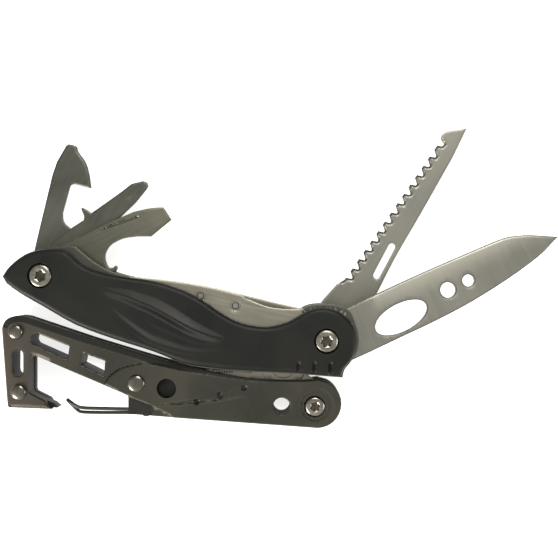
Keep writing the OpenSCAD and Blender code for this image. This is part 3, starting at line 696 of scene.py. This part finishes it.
def makeLowPlate(nodeName, front):
    s = lowLook
    low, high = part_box(nodeName)
    low, high = low.z / mm, high.z / mm
    inner, outer = (low, high) if front else (high, low)
    out = 1 if front else -1
    loops = faceLoops(nodeName, inner * mm)
    outline, holes = loops[0], loops[1:]

    def along(points):
        return [(x * span, y) for x, y in points]

    panelTop = smoothLine(along(s["panel"]))
    panel = panelTop + along(s["panelLow"])
    wedge = smoothLine(along(s["creaseUpper"])) + smoothLine(along(s["creaseLower"]))
    screwAt = ((lowPivot.x - bladePivot.x) / mm, (lowPivot.y - bladePivot.y) / mm)
    recess = along([s["recess"]])[0]
    sunk = along(s["stepCorner"])
    features = []
    for line, closed in ((panel, True), (wedge, True)):
        for shift in (-0.15, 0.15):
            features += [(x, y + shift) for x, y in spaced(line, 0.3, closed)]
    for shift in (-s["stepWall"], s["stepWall"]):
        features += [(x + shift * 0.6, y + shift) for x, y in spaced(sunk, 0.3)]
    for center, radii in ((screwAt, (s["seat"], s["seat"] + 0.04, s["ring"], s["ring"] + 0.06, s["outerRing"],
                                     s["outerRing"] + 0.3)),
                          (recess, (s["recessRadius"], s["recessRadius"] + 0.04, s["recessRadius"] + 0.22))):
        for radius in radii:
            features += ringPoints(center, radius)
    for center in along(s["dimples"]):
        for radius in (0.2, 0.42, 0.65, 0.9):
            features += ringPoints(center, radius, 0.2)
    inside = isInside(np.array(features), outline)
    for hole in holes:
        inside &= ~isInside(np.array(features), hole)
    features = [p for p, keep in zip(features, inside) if keep]

    def topBand(spots):  # where the outline faces up the page, and how far the band has narrowed there
        x = spots[:, 0] / span
        toEdge, _, _, turn = lineDistance(spots, outline, True)
        if loopArea(outline) < 0:
            turn = -turn
        level, slope, middle = s["middle"]
        aboveMiddle = spots[:, 1] > level + slope * (x + middle)
        upward = (turn[:, 1] > s["facingUp"]) & (x < s["bandEnd"]) & aboveMiddle
        return x, toEdge, turn, upward, 1 - s["narrowing"] * ramp(x, *s["bandTaper"])

    def heightAt(spots):
        x, toEdge, turn, upward, narrowed = topBand(spots)
        lip = (turn[:, 1] < s["facingDown"]) & (x < s["lipEnd"])  # light line along the hook's lower edge
        bandWidth = np.where(upward, s["bandWidth"] * narrowed, np.where(lip, s["lipWidth"], s["bevel"]))
        bandDrop = np.where(upward, s["bandDrop"], np.where(lip, s["lipDrop"], s["bevel"]))
        fadeOut = np.where(upward, narrowed, 1)
        down = bandDrop * fadeOut * np.clip(1 - toEdge / bandWidth, 0, 1)
        toHole = np.min([lineDistance(spots, hole, True)[0] for hole in holes], axis=0)
        down += np.clip(s["holeSoft"] - toHole, 0, s["holeSoft"])
        inPanel = isInside(spots, panel)
        toPanel, _, _, _ = lineDistance(spots, panel, True)
        topFade = 1 - ramp(x, *s["fade"])
        lowFade = 1 - ramp(x, *s["lowFade"])
        fade = np.where(spots[:, 1] > -14, topFade, lowFade)
        outside = np.where(inPanel, 0, ramp(toPanel, 0, s["panelWall"]))
        down += s["hookDrop"] * outside * fade
        inWedge = isInside(spots, wedge)
        toWedge, _, _, _ = lineDistance(spots, wedge, True)
        wedgeFade = 1 - ramp(x, *s["wedgeFade"])
        down += np.where(inWedge, s["creaseDepth"] * ramp(toWedge, 0, s["creaseWall"]) * wedgeFade, 0)
        for cx, cy in along(s["dimples"]):
            radius = np.hypot(spots[:, 0] - cx, spots[:, 1] - cy)
            down += s["dimpleDepth"] * np.clip(s["dimpleSlope"] - s["dimpleSlope"] * radius / s["dimple"], 0, 1)
        radius = np.hypot(spots[:, 0] - screwAt[0], spots[:, 1] - screwAt[1])
        down += 0.1 * (1 - ramp(radius, s["outerRing"], s["outerRing"] + 0.3))
        down = np.where(radius < s["ring"] + 0.03, s["ringDepth"], down)
        down = np.where(radius < s["seat"] + 0.02, s["seatDepth"], down)
        radius = np.hypot(spots[:, 0] - recess[0], spots[:, 1] - recess[1])
        down += s["seatDrop"] * (1 - ramp(radius, s["recessRadius"], s["recessRadius"] + s["seatSoft"]))
        down = np.where(radius < s["recessRadius"] + 0.02, s["recessDepth"], down)
        toSunk = lineDistance(spots, sunk, True)[0]
        within = np.where(isInside(spots, sunk), toSunk, -toSunk)
        down = np.maximum(down, s["stepDepth"] * ramp(within, -s["stepWall"], s["stepWall"]))
        return outer - out * np.clip(down, 0, abs(outer - inner) - 0.4)

    def paintedShadeAt(spots):  # painted shade: the steep top band, the drilled recesses, the dimples and the sunk step get the dark second material
        _, toEdge, _, upward, narrowed = topBand(spots)
        shaded = upward & (toEdge < s["bandWidth"] * narrowed)
        shaded |= isInside(spots, sunk) | (lineDistance(spots, sunk, True)[0] < 0.35)
        shaded |= np.hypot(spots[:, 0] - recess[0], spots[:, 1] - recess[1]) < s["recessRadius"] + 0.05
        for cx, cy in along(s["dimples"]):
            shaded |= np.hypot(spots[:, 0] - cx, spots[:, 1] - cy) < s["dimple"] * 0.9
        return shaded

    # painted shade: the plate's walls (material number 1) get the same dark material
    mesh = reliefPlate(nodeName + "_machined", loops, heightAt, inner, s["step"], s["rimSteps"], features,
                       front,
                       paintedShadeAt, 1)
    newPiece(nodeName + "_machined", mesh, "lower_handle", [nodeName], "anodised", "anodised", "darkFinishAndPaintedShade")


makeLowPlate("low_plate_front", True)
makeLowPlate("low_plate_rear", False)
print("lower plates ready")


# blades, small tools, liners: both faces softened

def turnedSpots(spots, pivot, degrees):  # into a blade's own directions: along it and across it
    angle = math.radians(degrees)
    x = spots[:, 0] - (pivot.x - bladePivot.x) / mm
    y = spots[:, 1] - (pivot.y - bladePivot.y) / mm
    return x * math.cos(angle) + y * math.sin(angle), y * math.cos(angle) - x * math.sin(angle)


def edged(toEdge, depthAndWidth):
    depth, width = depthAndWidth
    return depth * np.clip(1 - toEdge / width, 0, 1)


# u runs along the blade from its pivot and v across it; edges are (depth, width)
knifeGrind = {"edge": (0.12, 0.3), "hollow": 0.66, "from": 0.5, "width": 7.2, "curve": 1.7, "starts": (15, 20),
              "rim": 0.28}
sawGrind = {"edge": (0.1, 0.3), "tooth": (0.5, 0.75), "teeth": (17, 71.5), "back": 5.2, "narrowing": 0.0123,
            "narrowsFrom": 18, "gullet": 1.9, "fade": (0.5, 0.2), "facetFrom": 0.45, "facetWidth": 0.45}
canGrind = {"edge": (0.12, 0.28), "cut": (0.14, 0.8), "below": -1, "beyond": 26}
crossGrind = {"edge": (0.16, 0.4), "flute": 0.3, "middle": 0.6, "half": 1.2, "starts": (33, 37)}
flatGrind = {"edge": (0.14, 0.34), "tip": 0.3, "tipStarts": (35, 42), "nick": 0.5, "nickAt": [19.5, 27, 36],
             "nickTop": [5.0, 4.7, 2.9], "nickLow": [4.9, 3.3, 2.8], "nickStarts": (19.5, 22),
             "nickEnds": (33, 36)}
linerGrind = {"edge": (0.08, 0.18), "toolEnd": -59, "bladeEnd": -7, "rim": 1.6, "underRim": 0.9, "below": 3,
              "underLine": (0.2, 0.22, 40)}


def knifeShape(toEdge, u, v):  # hollow ground towards the cutting edge
    g = knifeGrind
    ground = np.clip((v + g["from"]) / g["width"], 0, 1) ** g["curve"] * ramp(u, *g["starts"])
    return g["hollow"] * ground + edged(toEdge, g["edge"])


def knifeFacets(toEdge, u, v):  # painted shade: a dark line on the thin edge all round
    return toEdge < knifeGrind["rim"]


def sawRoot(u):
    return sawGrind["back"] - sawGrind["narrowing"] * (u - sawGrind["narrowsFrom"]) - sawGrind["gullet"]


def amongTeeth(u):
    return (u > sawGrind["teeth"][0]) & (u < sawGrind["teeth"][1])


def sawShape(toEdge, u, v):  # every tooth is ground on its gullet sides
    g = sawGrind
    inTeeth = ramp(v, sawRoot(u) - g["fade"][0], sawRoot(u) - g["fade"][1]) * amongTeeth(u)
    return edged(toEdge, g["tooth"]) * inTeeth + edged(toEdge, g["edge"])


# darker ground sides of the teeth: partly the real grind, partly painted shade
def sawFacets(toEdge, u, v):
    return (v > sawRoot(u) - sawGrind["facetFrom"]) & amongTeeth(u) & (toEdge < sawGrind["facetWidth"])


def canShape(toEdge, u, v):  # ground cutting edge round the notch
    g = canGrind
    return edged(toEdge, g["cut"]) * (v < g["below"]) * (u > g["beyond"]) + edged(toEdge, g["edge"])


def crossShape(toEdge, u, v):  # flutes of the cross tip
    g = crossGrind
    flute = np.clip(1 - np.abs(v - g["middle"]) / g["half"], 0, 1) * ramp(u, *g["starts"])
    return g["flute"] * flute + edged(toEdge, g["edge"])


def flatShape(toEdge, u, v):  # thinned tip and the thumbnail groove
    g = flatGrind
    top, low = np.interp(u, g["nickAt"], g["nickTop"]), np.interp(u, g["nickAt"], g["nickLow"])
    depth = np.clip((top - v) / np.maximum(top - low, 0.05), 0, 1)
    nick = np.where((v < top) & (v > low), 1 - depth, 0) * ramp(u,
                                                                *g["nickStarts"]) * (1 - ramp(u,
                                                                                              *g["nickEnds"]))
    return g["tip"] * ramp(u, *g["tipStarts"]) + g["nick"] * nick + edged(toEdge, g["edge"])


def linerShape(toEdge, u, v):
    return edged(toEdge, linerGrind["edge"])


def paintedLinerShadeAt(toEdge, u, v):  # painted shade along the lower edge and round both ends
    g = linerGrind
    level, slope, middle = g["underLine"]
    ends = (u < g["toolEnd"] * span) | ((u > g["bladeEnd"]) & (toEdge < g["rim"]))
    return ends | ((toEdge < g["underRim"]) & (v < level - slope * (u + middle) / span)) & (v < g["below"])


# where "wall" is 1 the walls get the second, darker material: painted shade
flatBlades = {
    "knife_blade": {
        "body": "knife", "slot": "blade", "finish": ["knifeSteel", "darkGrindAndPaintedShade"], "shape": knifeShape,
        "pivot": bladePivot, "angle": knifeAngle, "step": 0.9, "facets": knifeFacets, "wall": 1},
    "saw_blade": {
        "body": "saw", "slot": "blade", "finish": ["sawSteel", "darkGrindAndPaintedShade"], "shape": sawShape,
        "pivot": bladePivot, "angle": sawAngle, "step": 0.5, "facets": sawFacets, "wall": 1},
    "can_opener": {
        "body": "can_opener", "slot": "dark_steel", "finish": ["toolSteel"], "shape": canShape,
        "pivot": toolPivot, "angle": 78.9, "step": 0.6},
    "cross_driver": {
        "body": "cross_driver", "slot": "dark_steel", "finish": ["toolSteel"], "shape": crossShape,
        "pivot": toolPivot, "angle": 42.2, "step": 0.6},
    "flat_driver": {
        "body": "flat_driver", "slot": "dark_steel", "finish": ["driverSteel"], "shape": flatShape,
        "pivot": toolPivot, "angle": 26.8, "step": 0.4},
    "liner_front": {
        "body": "upper_handle", "slot": "liner", "finish": ["linerSteel", "linerPaintedShade"], "shape": linerShape,
        "pivot": bladePivot, "angle": 0, "step": 1.5, "facets": paintedLinerShadeAt, "wall": 1},
    "liner_rear": {
        "body": "upper_handle", "slot": "liner", "finish": ["linerSteel", "linerPaintedShade"], "shape": linerShape,
        "pivot": bladePivot, "angle": 0, "step": 1.5, "facets": paintedLinerShadeAt, "wall": 1},
}


def makeFlatBlade(nodeName, b):
    low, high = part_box(nodeName)
    middle, top = (low.z + high.z) / 2 / mm, high.z / mm
    loops = sliceLoops(nodeName, middle * mm)

    def edgeAndPlace(spots):
        toEdge = np.min([lineDistance(spots, loop, True)[0] for loop in loops], axis=0)
        return (toEdge, *turnedSpots(spots, b["pivot"], b["angle"]))

    def heightAt(spots):
        return top - np.clip(b["shape"](*edgeAndPlace(spots)), 0, (top - middle) * 0.8)

    facets = b.get("facets")
    mesh = reliefPlate(nodeName + "_ground", loops, heightAt, middle, b["step"], (0.3, 0.75), [], None,
                       facets and (lambda spots: facets(*edgeAndPlace(spots))), b.get("wall", 0))
    newPiece(nodeName + "_ground", mesh, b["body"], [nodeName], b["slot"], *b["finish"])


for nodeName, look in flatBlades.items():
    makeFlatBlade(nodeName, look)
print("blades, small tools and liners ready")


# plier jaws, softened at their edges

def softCopy(nodeName, width):
    soft = mergedCopy(nodeName)
    bmesh.ops.dissolve_limit(soft, angle_limit=math.radians(1), verts=soft.verts, edges=soft.edges)
    mesh = bpy.data.meshes.new(nodeName)
    soft.to_mesh(mesh)
    soft.free()
    holder = bpy.data.objects.new("softening", mesh)
    bpy.context.scene.collection.objects.link(holder)
    bevel = holder.modifiers.new("softEdge", "BEVEL")
    bevel.width = width
    bevel.segments = 2
    bevel.limit_method = "ANGLE"
    bevel.angle_limit = math.radians(40)
    bevel.use_clamp_overlap = False
    return settled(holder, nodeName + "_soft")


def settled(holder, name):  # the evaluated shape as a plain mesh
    graph = bpy.context.evaluated_depsgraph_get()
    mesh = bpy.data.meshes.new_from_object(holder.evaluated_get(graph))
    mesh.name = name
    holder.modifiers.clear()
    bpy.data.objects.remove(holder)
    return mesh


for nodeName, body in (("jaw_upper_tang", "upper_jaw_tang"), ("jaw_lower_tang", "lower_jaw_tang")):
    jawMesh = softCopy(nodeName, 0.00012)
    shadeByAngle(jawMesh, 35)
    newPiece(nodeName + "_forged", jawMesh, body, [nodeName], "jaw_steel", "jawSteel")


# geometry node trees

def geometryTree(name, inputs):
    shape = ("Geometry", "NodeSocketGeometry")
    return groupTree(name, [(*shape, None)] + inputs, [shape], "GeometryNodeTree")


def grown(name, tree, mesh, values):  # runs a tree on a mesh and keeps the plain result
    holder = bpy.data.objects.new(name, mesh)
    bpy.context.scene.collection.objects.link(holder)
    modifier = holder.modifiers.new("grow", "NODES")
    modifier.node_group = tree
    for item in tree.interface.items_tree:
        if item.item_type == "SOCKET" and item.in_out == "INPUT" and item.name in values:
            modifier[item.identifier] = values[item.name]
    return settled(holder, name)


def buildFastenerTree():  # a fastener on every point, turned by "facing" and sized by "size"
    tree, start, end = geometryTree("fastenersOnPoints", [
        ("Fastener", "NodeSocketObject", None), ("Metal", "NodeSocketMaterial", None),
        ("Recess", "NodeSocketMaterial", None)])
    template = addNode(tree, "GeometryNodeObjectInfo", transform_space="ORIGINAL")
    facing = addNode(tree, "GeometryNodeInputNamedAttribute", {"Name": "facing"}, data_type="FLOAT_VECTOR")
    turning = addNode(tree, "FunctionNodeEulerToRotation")
    size = addNode(tree, "GeometryNodeInputNamedAttribute", {"Name": "size"}, data_type="FLOAT_VECTOR")
    placed = addNode(tree, "GeometryNodeInstanceOnPoints")
    real = addNode(tree, "GeometryNodeRealizeInstances")
    metal = addNode(tree, "GeometryNodeSetMaterial")
    recess = addNode(tree, "GeometryNodeSetMaterial")
    # painted shade: faces marked recessed get the darker Recess material
    inside = addNode(tree, "GeometryNodeInputNamedAttribute", {"Name": "recessed"}, data_type="BOOLEAN")
    joinUp(tree, (start, "Geometry", placed, "Points"), (start, "Fastener", template, "Object"),
           (template, "Geometry", placed, "Instance"), (facing, "Attribute", turning, 0),
           (turning, 0, placed, "Rotation"), (size, "Attribute", placed, "Scale"),
           (placed, "Instances", real, "Geometry"), (real, "Geometry", metal, "Geometry"),
           (start, "Metal", metal, "Material"), (metal, "Geometry", recess, "Geometry"),
           (inside, "Attribute", recess, "Selection"), (start, "Recess", recess, "Material"),
           (recess, "Geometry", end, "Geometry"))
    return tree


def buildHatchTree():  # rows of small pyramids on a flat patch
    tree, start, end = geometryTree("gripHatch", [
        ("Columns", "NodeSocketInt", 8), ("Rows", "NodeSocketInt", 2), ("Length", "NodeSocketFloat", 0.005),
        ("Width", "NodeSocketFloat", 0.001), ("Base", "NodeSocketFloat", 0.0004),
        ("Height", "NodeSocketFloat", 0.0002),
        ("Place", "NodeSocketVector", None), ("Turn", "NodeSocketVector", None),
        ("Metal", "NodeSocketMaterial", None)])
    grid = addNode(tree, "GeometryNodeMeshGrid")
    spike = addNode(tree, "GeometryNodeMeshCone", {"Vertices": 4})
    placed = addNode(tree, "GeometryNodeInstanceOnPoints")
    moved = addNode(tree, "GeometryNodeTransform")
    real = addNode(tree, "GeometryNodeRealizeInstances")
    metal = addNode(tree, "GeometryNodeSetMaterial")
    joinUp(tree, (start, "Length", grid, "Size X"), (start, "Width", grid, "Size Y"),
           (start, "Columns", grid, "Vertices X"), (start, "Rows", grid, "Vertices Y"),
           (start, "Base", spike, "Radius Bottom"), (start, "Height", spike, "Depth"),
           (grid, "Mesh", placed, "Points"), (spike, "Mesh", placed, "Instance"),
           (placed, "Instances", moved, "Geometry"), (start, "Place", moved, "Translation"),
           (start, "Turn", moved, "Rotation"), (moved, "Geometry", real, "Geometry"),
           (real, "Geometry", metal, "Geometry"), (start, "Metal", metal, "Material"),
           (metal, "Geometry", end, "Geometry"))
    return tree


def buildWireTree():  # a round wire along the mesh's edges
    tree, start, end = geometryTree("wireAlongPath", [
        ("Radius", "NodeSocketFloat", 0.0005), ("Sides", "NodeSocketInt", 16),
        ("Spacing", "NodeSocketFloat", 0.0004),
        ("Metal", "NodeSocketMaterial", None)])
    curve = addNode(tree, "GeometryNodeMeshToCurve")
    even = addNode(tree, "GeometryNodeResampleCurve", mode="LENGTH")
    ring = addNode(tree, "GeometryNodeCurvePrimitiveCircle")
    skin = addNode(tree, "GeometryNodeCurveToMesh", {"Fill Caps": True})
    real = addNode(tree, "GeometryNodeRealizeInstances")
    metal = addNode(tree, "GeometryNodeSetMaterial")
    joinUp(tree, (start, "Geometry", curve, "Mesh"), (curve, "Curve", even, "Curve"),
           (start, "Spacing", even, "Length"), (start, "Radius", ring, "Radius"),
           (start, "Sides", ring, "Resolution"), (even, "Curve", skin, "Curve"),
           (ring, "Curve", skin, "Profile Curve"), (skin, "Mesh", real, "Geometry"),
           (real, "Geometry", metal, "Geometry"), (start, "Metal", metal, "Material"),
           (metal, "Geometry", end, "Geometry"))
    return tree


fastenerTree = buildFastenerTree()
hatchTree = buildHatchTree()
wireTree = buildWireTree()
print("geometry node trees ready")


# screws and rivets

def lathed(name, rings, sides, recessFrom=None):  # rings of (radius, height, lobe depth), from the base up
    verts, faces = [], []
    for radius, height, lobe in rings:
        for i in range(sides):
            angle = 2 * math.pi * i / sides
            r = radius * (1 - lobe * (0.5 - 0.5 * math.cos(6 * angle)))
            verts.append((r * math.cos(angle) * mm, r * math.sin(angle) * mm, height * mm))
    for k in range(len(rings) - 1):
        for i in range(sides):
            j = (i + 1) % sides
            faces.append((k * sides + i, k * sides + j, (k + 1) * sides + j, (k + 1) * sides + i))
    faces.append(tuple(reversed(range(sides))))
    last = (len(rings) - 1) * sides
    faces.append(tuple(range(last, last + sides)))
    mesh = bpy.data.meshes.new(name)
    mesh.from_pydata(verts, [], faces)
    recessed = mesh.attributes.new("recessed", "BOOLEAN", "FACE")
    for i, item in enumerate(recessed.data):
        ringNumber = i // sides
        item.value = recessFrom is not None and (ringNumber >= recessFrom and i != len(faces) - 2)
    shadeByAngle(mesh, 32)
    template = bpy.data.objects.new(name, mesh)
    bpy.context.scene.collection.objects.link(template)
    return template


screwLook = {
    "head": 3.5, "lowHead": 3.0, "thick": 1.5, "shank": 1.5, "shankLength": 3.5, "crown": (1.3, 0.62),
    "socket": 1.62, "chamfer": 0.24, "lobes": 0.26, "depth": 1.05, "sides": 96
}


def screwTemplate(s):
    wide, high = s["crown"]
    rings = [(s["shank"], -s["shankLength"], 0), (s["shank"], 0, 0), (s["head"], 0.02, 0)]
    rings += [(s["head"] - wide * (1 - math.cos(a)), s["thick"] - high * (1 - math.sin(a)), 0)
              for a in [math.radians(d) for d in range(0, 89, 11)]]
    rings += [(s["socket"] + s["chamfer"] + 0.12, s["thick"], 0),
              (s["socket"] + s["chamfer"], s["thick"] - 0.02, 0),
              (s["socket"], s["thick"] - s["chamfer"], s["lobes"] * 0.6),
              (s["socket"] * 0.97, s["thick"] - s["chamfer"] - 0.1, s["lobes"]),
              (s["socket"] * 0.95, s["thick"] - s["depth"], s["lobes"]),
              (0.3, s["thick"] - s["depth"] - 0.15, 0)]
    return lathed("screwTemplate", rings, s["sides"], recessFrom=len(rings) - 4)


def domeTemplate(radius, height, shank, length):
    rings = [(shank, -length, 0), (shank, 0, 0), (radius, 0.0, 0), (radius, height * 0.12, 0)]
    rings += [(radius * math.cos(a), height * (0.12 + 0.88 * math.sin(a)), 0)
              for a in [math.radians(d) for d in range(8, 88, 8)]]
    return lathed("domeTemplate", rings, 64)


def flushTemplate(radius, thick):  # a short rivet with a ring groove in its face
    rings = [(radius, 0, 0), (radius, thick - 0.12, 0), (radius - 0.08, thick - 0.02, 0),
             (radius * 0.74, thick, 0),
             (radius * 0.68, thick - 0.14, 0), (radius * 0.60, thick - 0.14, 0), (radius * 0.54, thick, 0),
             (0.2, thick, 0)]
    template = lathed("flushTemplate", rings, 48)
    for i, item in enumerate(template.data.attributes["recessed"].data):
        item.value = i // 48 in (1, 3, 4, 5) and i < 48 * (len(rings) - 1)
    return template


def fastenPoints(name, template, places, body, replaced, slotName, metalName, recessName):
    mesh = bpy.data.meshes.new(name)
    mesh.from_pydata([tuple(place) for place, _, _ in places], [], [])
    facing = mesh.attributes.new("facing", "FLOAT_VECTOR", "POINT")
    size = mesh.attributes.new("size", "FLOAT_VECTOR", "POINT")
    for i, (_, turn, scale) in enumerate(places):
        facing.data[i].vector = turn
        size.data[i].vector = scale
    result = grown(name, fastenerTree, mesh, {"Fastener": template, "Metal": materials[metalName],
                                              "Recess": materials[recessName]})
    bpy.data.objects.remove(template)
    for attribute in ("facing", "size", "recessed"):
        if attribute in result.attributes:
            result.attributes.remove(result.attributes[attribute])
    shadeByAngle(result, 32)
    newPiece(name, result, body, replaced, slotName)


def screwPlaces(pivot, nodeName, thick, turn, scale=1.0):  # one head on each face of the handle
    low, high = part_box(nodeName)
    turn, size = math.radians(turn), (scale, scale, 1)
    return [(Vector((pivot.x, pivot.y, high.z - thick * mm)), (0, 0, turn), size),
            (Vector((pivot.x, pivot.y, low.z + thick * mm)), (math.pi, 0, turn), size)]


headThick = screwLook["thick"]
fastenPoints("scale_screws", screwTemplate(screwLook),
             screwPlaces(bladePivot, "blade_screws", headThick, 8) + screwPlaces(toolPivot, "tool_screws",
                                                                                 headThick, 21),
             "upper_handle", ["blade_screws", "tool_screws"], "bright_steel", "screwSteel", "socketPaintedShade")
fastenPoints("low_pivot_screws", screwTemplate(screwLook),
             screwPlaces(lowPivot, "low_screws", headThick, 15, screwLook["lowHead"] / screwLook["head"]),
             "low_pivot", ["low_screws"], "bright_steel", "screwSteel", "socketPaintedShade")

rivetLook = {
    "drawn": 2.2, "length": 5.0, "at": [(-93.3, 2.7), (-92.4, -15.4), (-57.1, -12.8)], "radius": [2.2, 2.3,
    2.6], "height": 0.8, "shank": 1.2, "linerAt": [(-37.8, 13.5), (-27.3, 10.5)], "linerRadius": 1.5
}


def fromBlade(point, level):  # millimetres from the blade pivot to metres
    return Vector((bladePivot.x + point[0] * span * mm, bladePivot.y + point[1] * mm, level))


def makeRivets(r):
    low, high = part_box("low_plate_rear")[0].z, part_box("low_plate_front")[1].z
    places = []
    for point, radius in zip(r["at"], r["radius"]):
        scale = (radius / r["drawn"], radius / r["drawn"], 1)
        places.append((fromBlade(point, high), (0, 0, 0), scale))
        places.append((fromBlade(point, low), (math.pi, 0, 0), scale))
    dome = domeTemplate(r["drawn"], r["height"], r["shank"] * 0.85, r["length"])
    fastenPoints("handle_rivets", dome, places, "lower_handle",
                 ["low_rivets"], "bright_steel", "rivetSteel", "socketPaintedShade")
    places = []
    for point in r["linerAt"]:
        for nodeName, turn in (("liner_front", 0), ("liner_rear", math.pi)):
            lowCorner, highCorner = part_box(nodeName)
            places.append((fromBlade(point, lowCorner.z if turn == 0 else highCorner.z), (turn, 0, 0),
                           (1, 1, 1)))
    thick = (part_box("liner_front")[1].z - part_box("liner_front")[0].z) / mm
    # painted shade in the flush rivets' ring grooves
    fastenPoints("flush_rivets", flushTemplate(r["linerRadius"], thick), places, "upper_handle",
                 ["liner_rivets"], "bright_steel", "linerSteel", "linerPaintedShade")


makeRivets(rivetLook)
print("screws and rivets ready")


# hatch on the jaw tips

hatchLook = {
    "columns": 8, "length": 5.4, "rows": 2, "width": 0.75, "base": 0.36, "height": 0.2, "from": -18.2,
    "above": 0.62, "below": -0.72, "tilt": 1.6
}


def makeHatch(h):
    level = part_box("jaw_upper_tang")[1].z
    empty = bpy.data.meshes.new("hatchSeed")
    for name, body, side in (("hatch_upper_tang_jaw", "upper_jaw_tang", "below"),
                             ("hatch_lower_tang_jaw", "lower_jaw_tang", "above")):
        tilt = math.radians(h["tilt"])
        u, v = h["from"] * span, h[side]
        place = (jawPivot.x + (u * math.cos(tilt) - v * math.sin(tilt)) * mm,
                 jawPivot.y + (u * math.sin(tilt) + v * math.cos(tilt)) * mm, level - 0.00001)
        # painted shade: the hatch pyramids get the dark ground-steel material
        result = grown(name, hatchTree, empty.copy(), {
            "Columns": h["columns"], "Rows": h["rows"], "Length": h["length"] * mm, "Width": h["width"] * mm,
            "Base": h["base"] * mm, "Height": h["height"] * mm, "Place": place, "Turn": (0, 0, tilt),
            "Metal": materials["darkGrindAndPaintedShade"]})
        newPiece(name, result, body, None, "jaw_steel")


makeHatch(hatchLook)

jawPinLook = {"at": (-19.0, -9.6), "radius": 1.1, "thick": 0.4, "proud": 0.03}


def makeJawPin(p):  # a flush pin in the strip that shows between the handles
    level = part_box("jaw_upper_tang")[1].z - (p["thick"] - p["proud"]) * mm
    place = Vector((bladePivot.x + p["at"][0] * mm, bladePivot.y + p["at"][1] * mm, level))
    # painted shade in the pin's ring groove
    fastenPoints("jaw_pin", flushTemplate(p["radius"], p["thick"]), [(place, (0, 0, 0), (1, 1, 1))],
                 "upper_jaw_tang",
                 None, "jaw_steel", "jawSteel", "darkGrindAndPaintedShade")


makeJawPin(jawPinLook)
print("jaw hatch ready")


# wire gate

wireLook = {
    "radius": 0.55, "leg": 1.35, "eye": 1.2, "front": [(-2.5, 0.55), (-8, 0.62), (-12.1, 0.72), (-19.2, 0.95),
    (-21.6, 1.7), (-23.3, 2.8)], "nose": (-24.2, 3.2), "rear": [(-23.4, 2.0), (-21.4, -0.1), (-19.6, -0.7),
    (-12.1, -0.85), (-8, -0.85), (-2.5, -0.9)]
}


def makeWire(w):
    middle = gatePivot.z / mm
    path = []
    for degrees in range(-180, 91, 15):  # the eye that hooks round the pin
        angle = math.radians(degrees)
        path.append((w["eye"] * math.cos(angle), w["eye"] * math.sin(angle), middle + w["leg"]))
    front = [(x * span, y, middle + w["leg"]) for x, y in w["front"]]
    rear = [(x * span, y, middle - w["leg"]) for x, y in w["rear"]]
    legs = smoothLine(front[:-1] + [(front[-1][0], front[-1][1], middle + w["leg"] * 0.7),
                                    (w["nose"][0] * span, w["nose"][1], middle)]
                      + [(rear[0][0], rear[0][1], middle - w["leg"] * 0.7)] + rear[1:])
    path += legs
    for degrees in range(-90, 181, 15):
        angle = math.radians(degrees)
        path.append((w["eye"] * math.cos(angle), w["eye"] * math.sin(angle), middle - w["leg"]))
    verts = [(gatePivot.x + x * mm, gatePivot.y + y * mm, z * mm) for x, y, z in path]
    mesh = bpy.data.meshes.new("gatePath")
    mesh.from_pydata(verts, [(i, i + 1) for i in range(len(verts) - 1)], [])
    result = grown("wire_gate", wireTree, mesh, {"Radius": w["radius"] * mm, "Sides": 14, "Spacing": 0.5 * mm,
                                                 "Metal": materials["blackWire"]})
    shadeByAngle(result, 60)
    newPiece("wire_gate", result, "gate", ["gate_wire"], "dark_steel")


makeWire(wireLook)
print("wire gate ready")


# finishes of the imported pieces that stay

stayingFinish = {
    "frame_spacer": "linerSteel", "tool_spring": "toolSteel", "frame_rivets": "brightSteel",
    "blade_barrel": "linerSteel", "blade_washers": "brightSteel", "tool_barrel": "linerSteel",
    "tool_washers": "brightSteel", "tool_collars": "linerSteel", "jaw_rivet": "jawSteel",
    "low_core": "darkFinishAndPaintedShade", "low_barrel": "linerSteel", "low_washers": "brightSteel",
    "gate_pin": "darkFinishAndPaintedShade",
}
for nodeName, finishName in stayingFinish.items():
    for materialSlot in frame["nodes"][nodeName].material_slots:
        materialSlot.material = materials[finishName]
print("all finishes set")
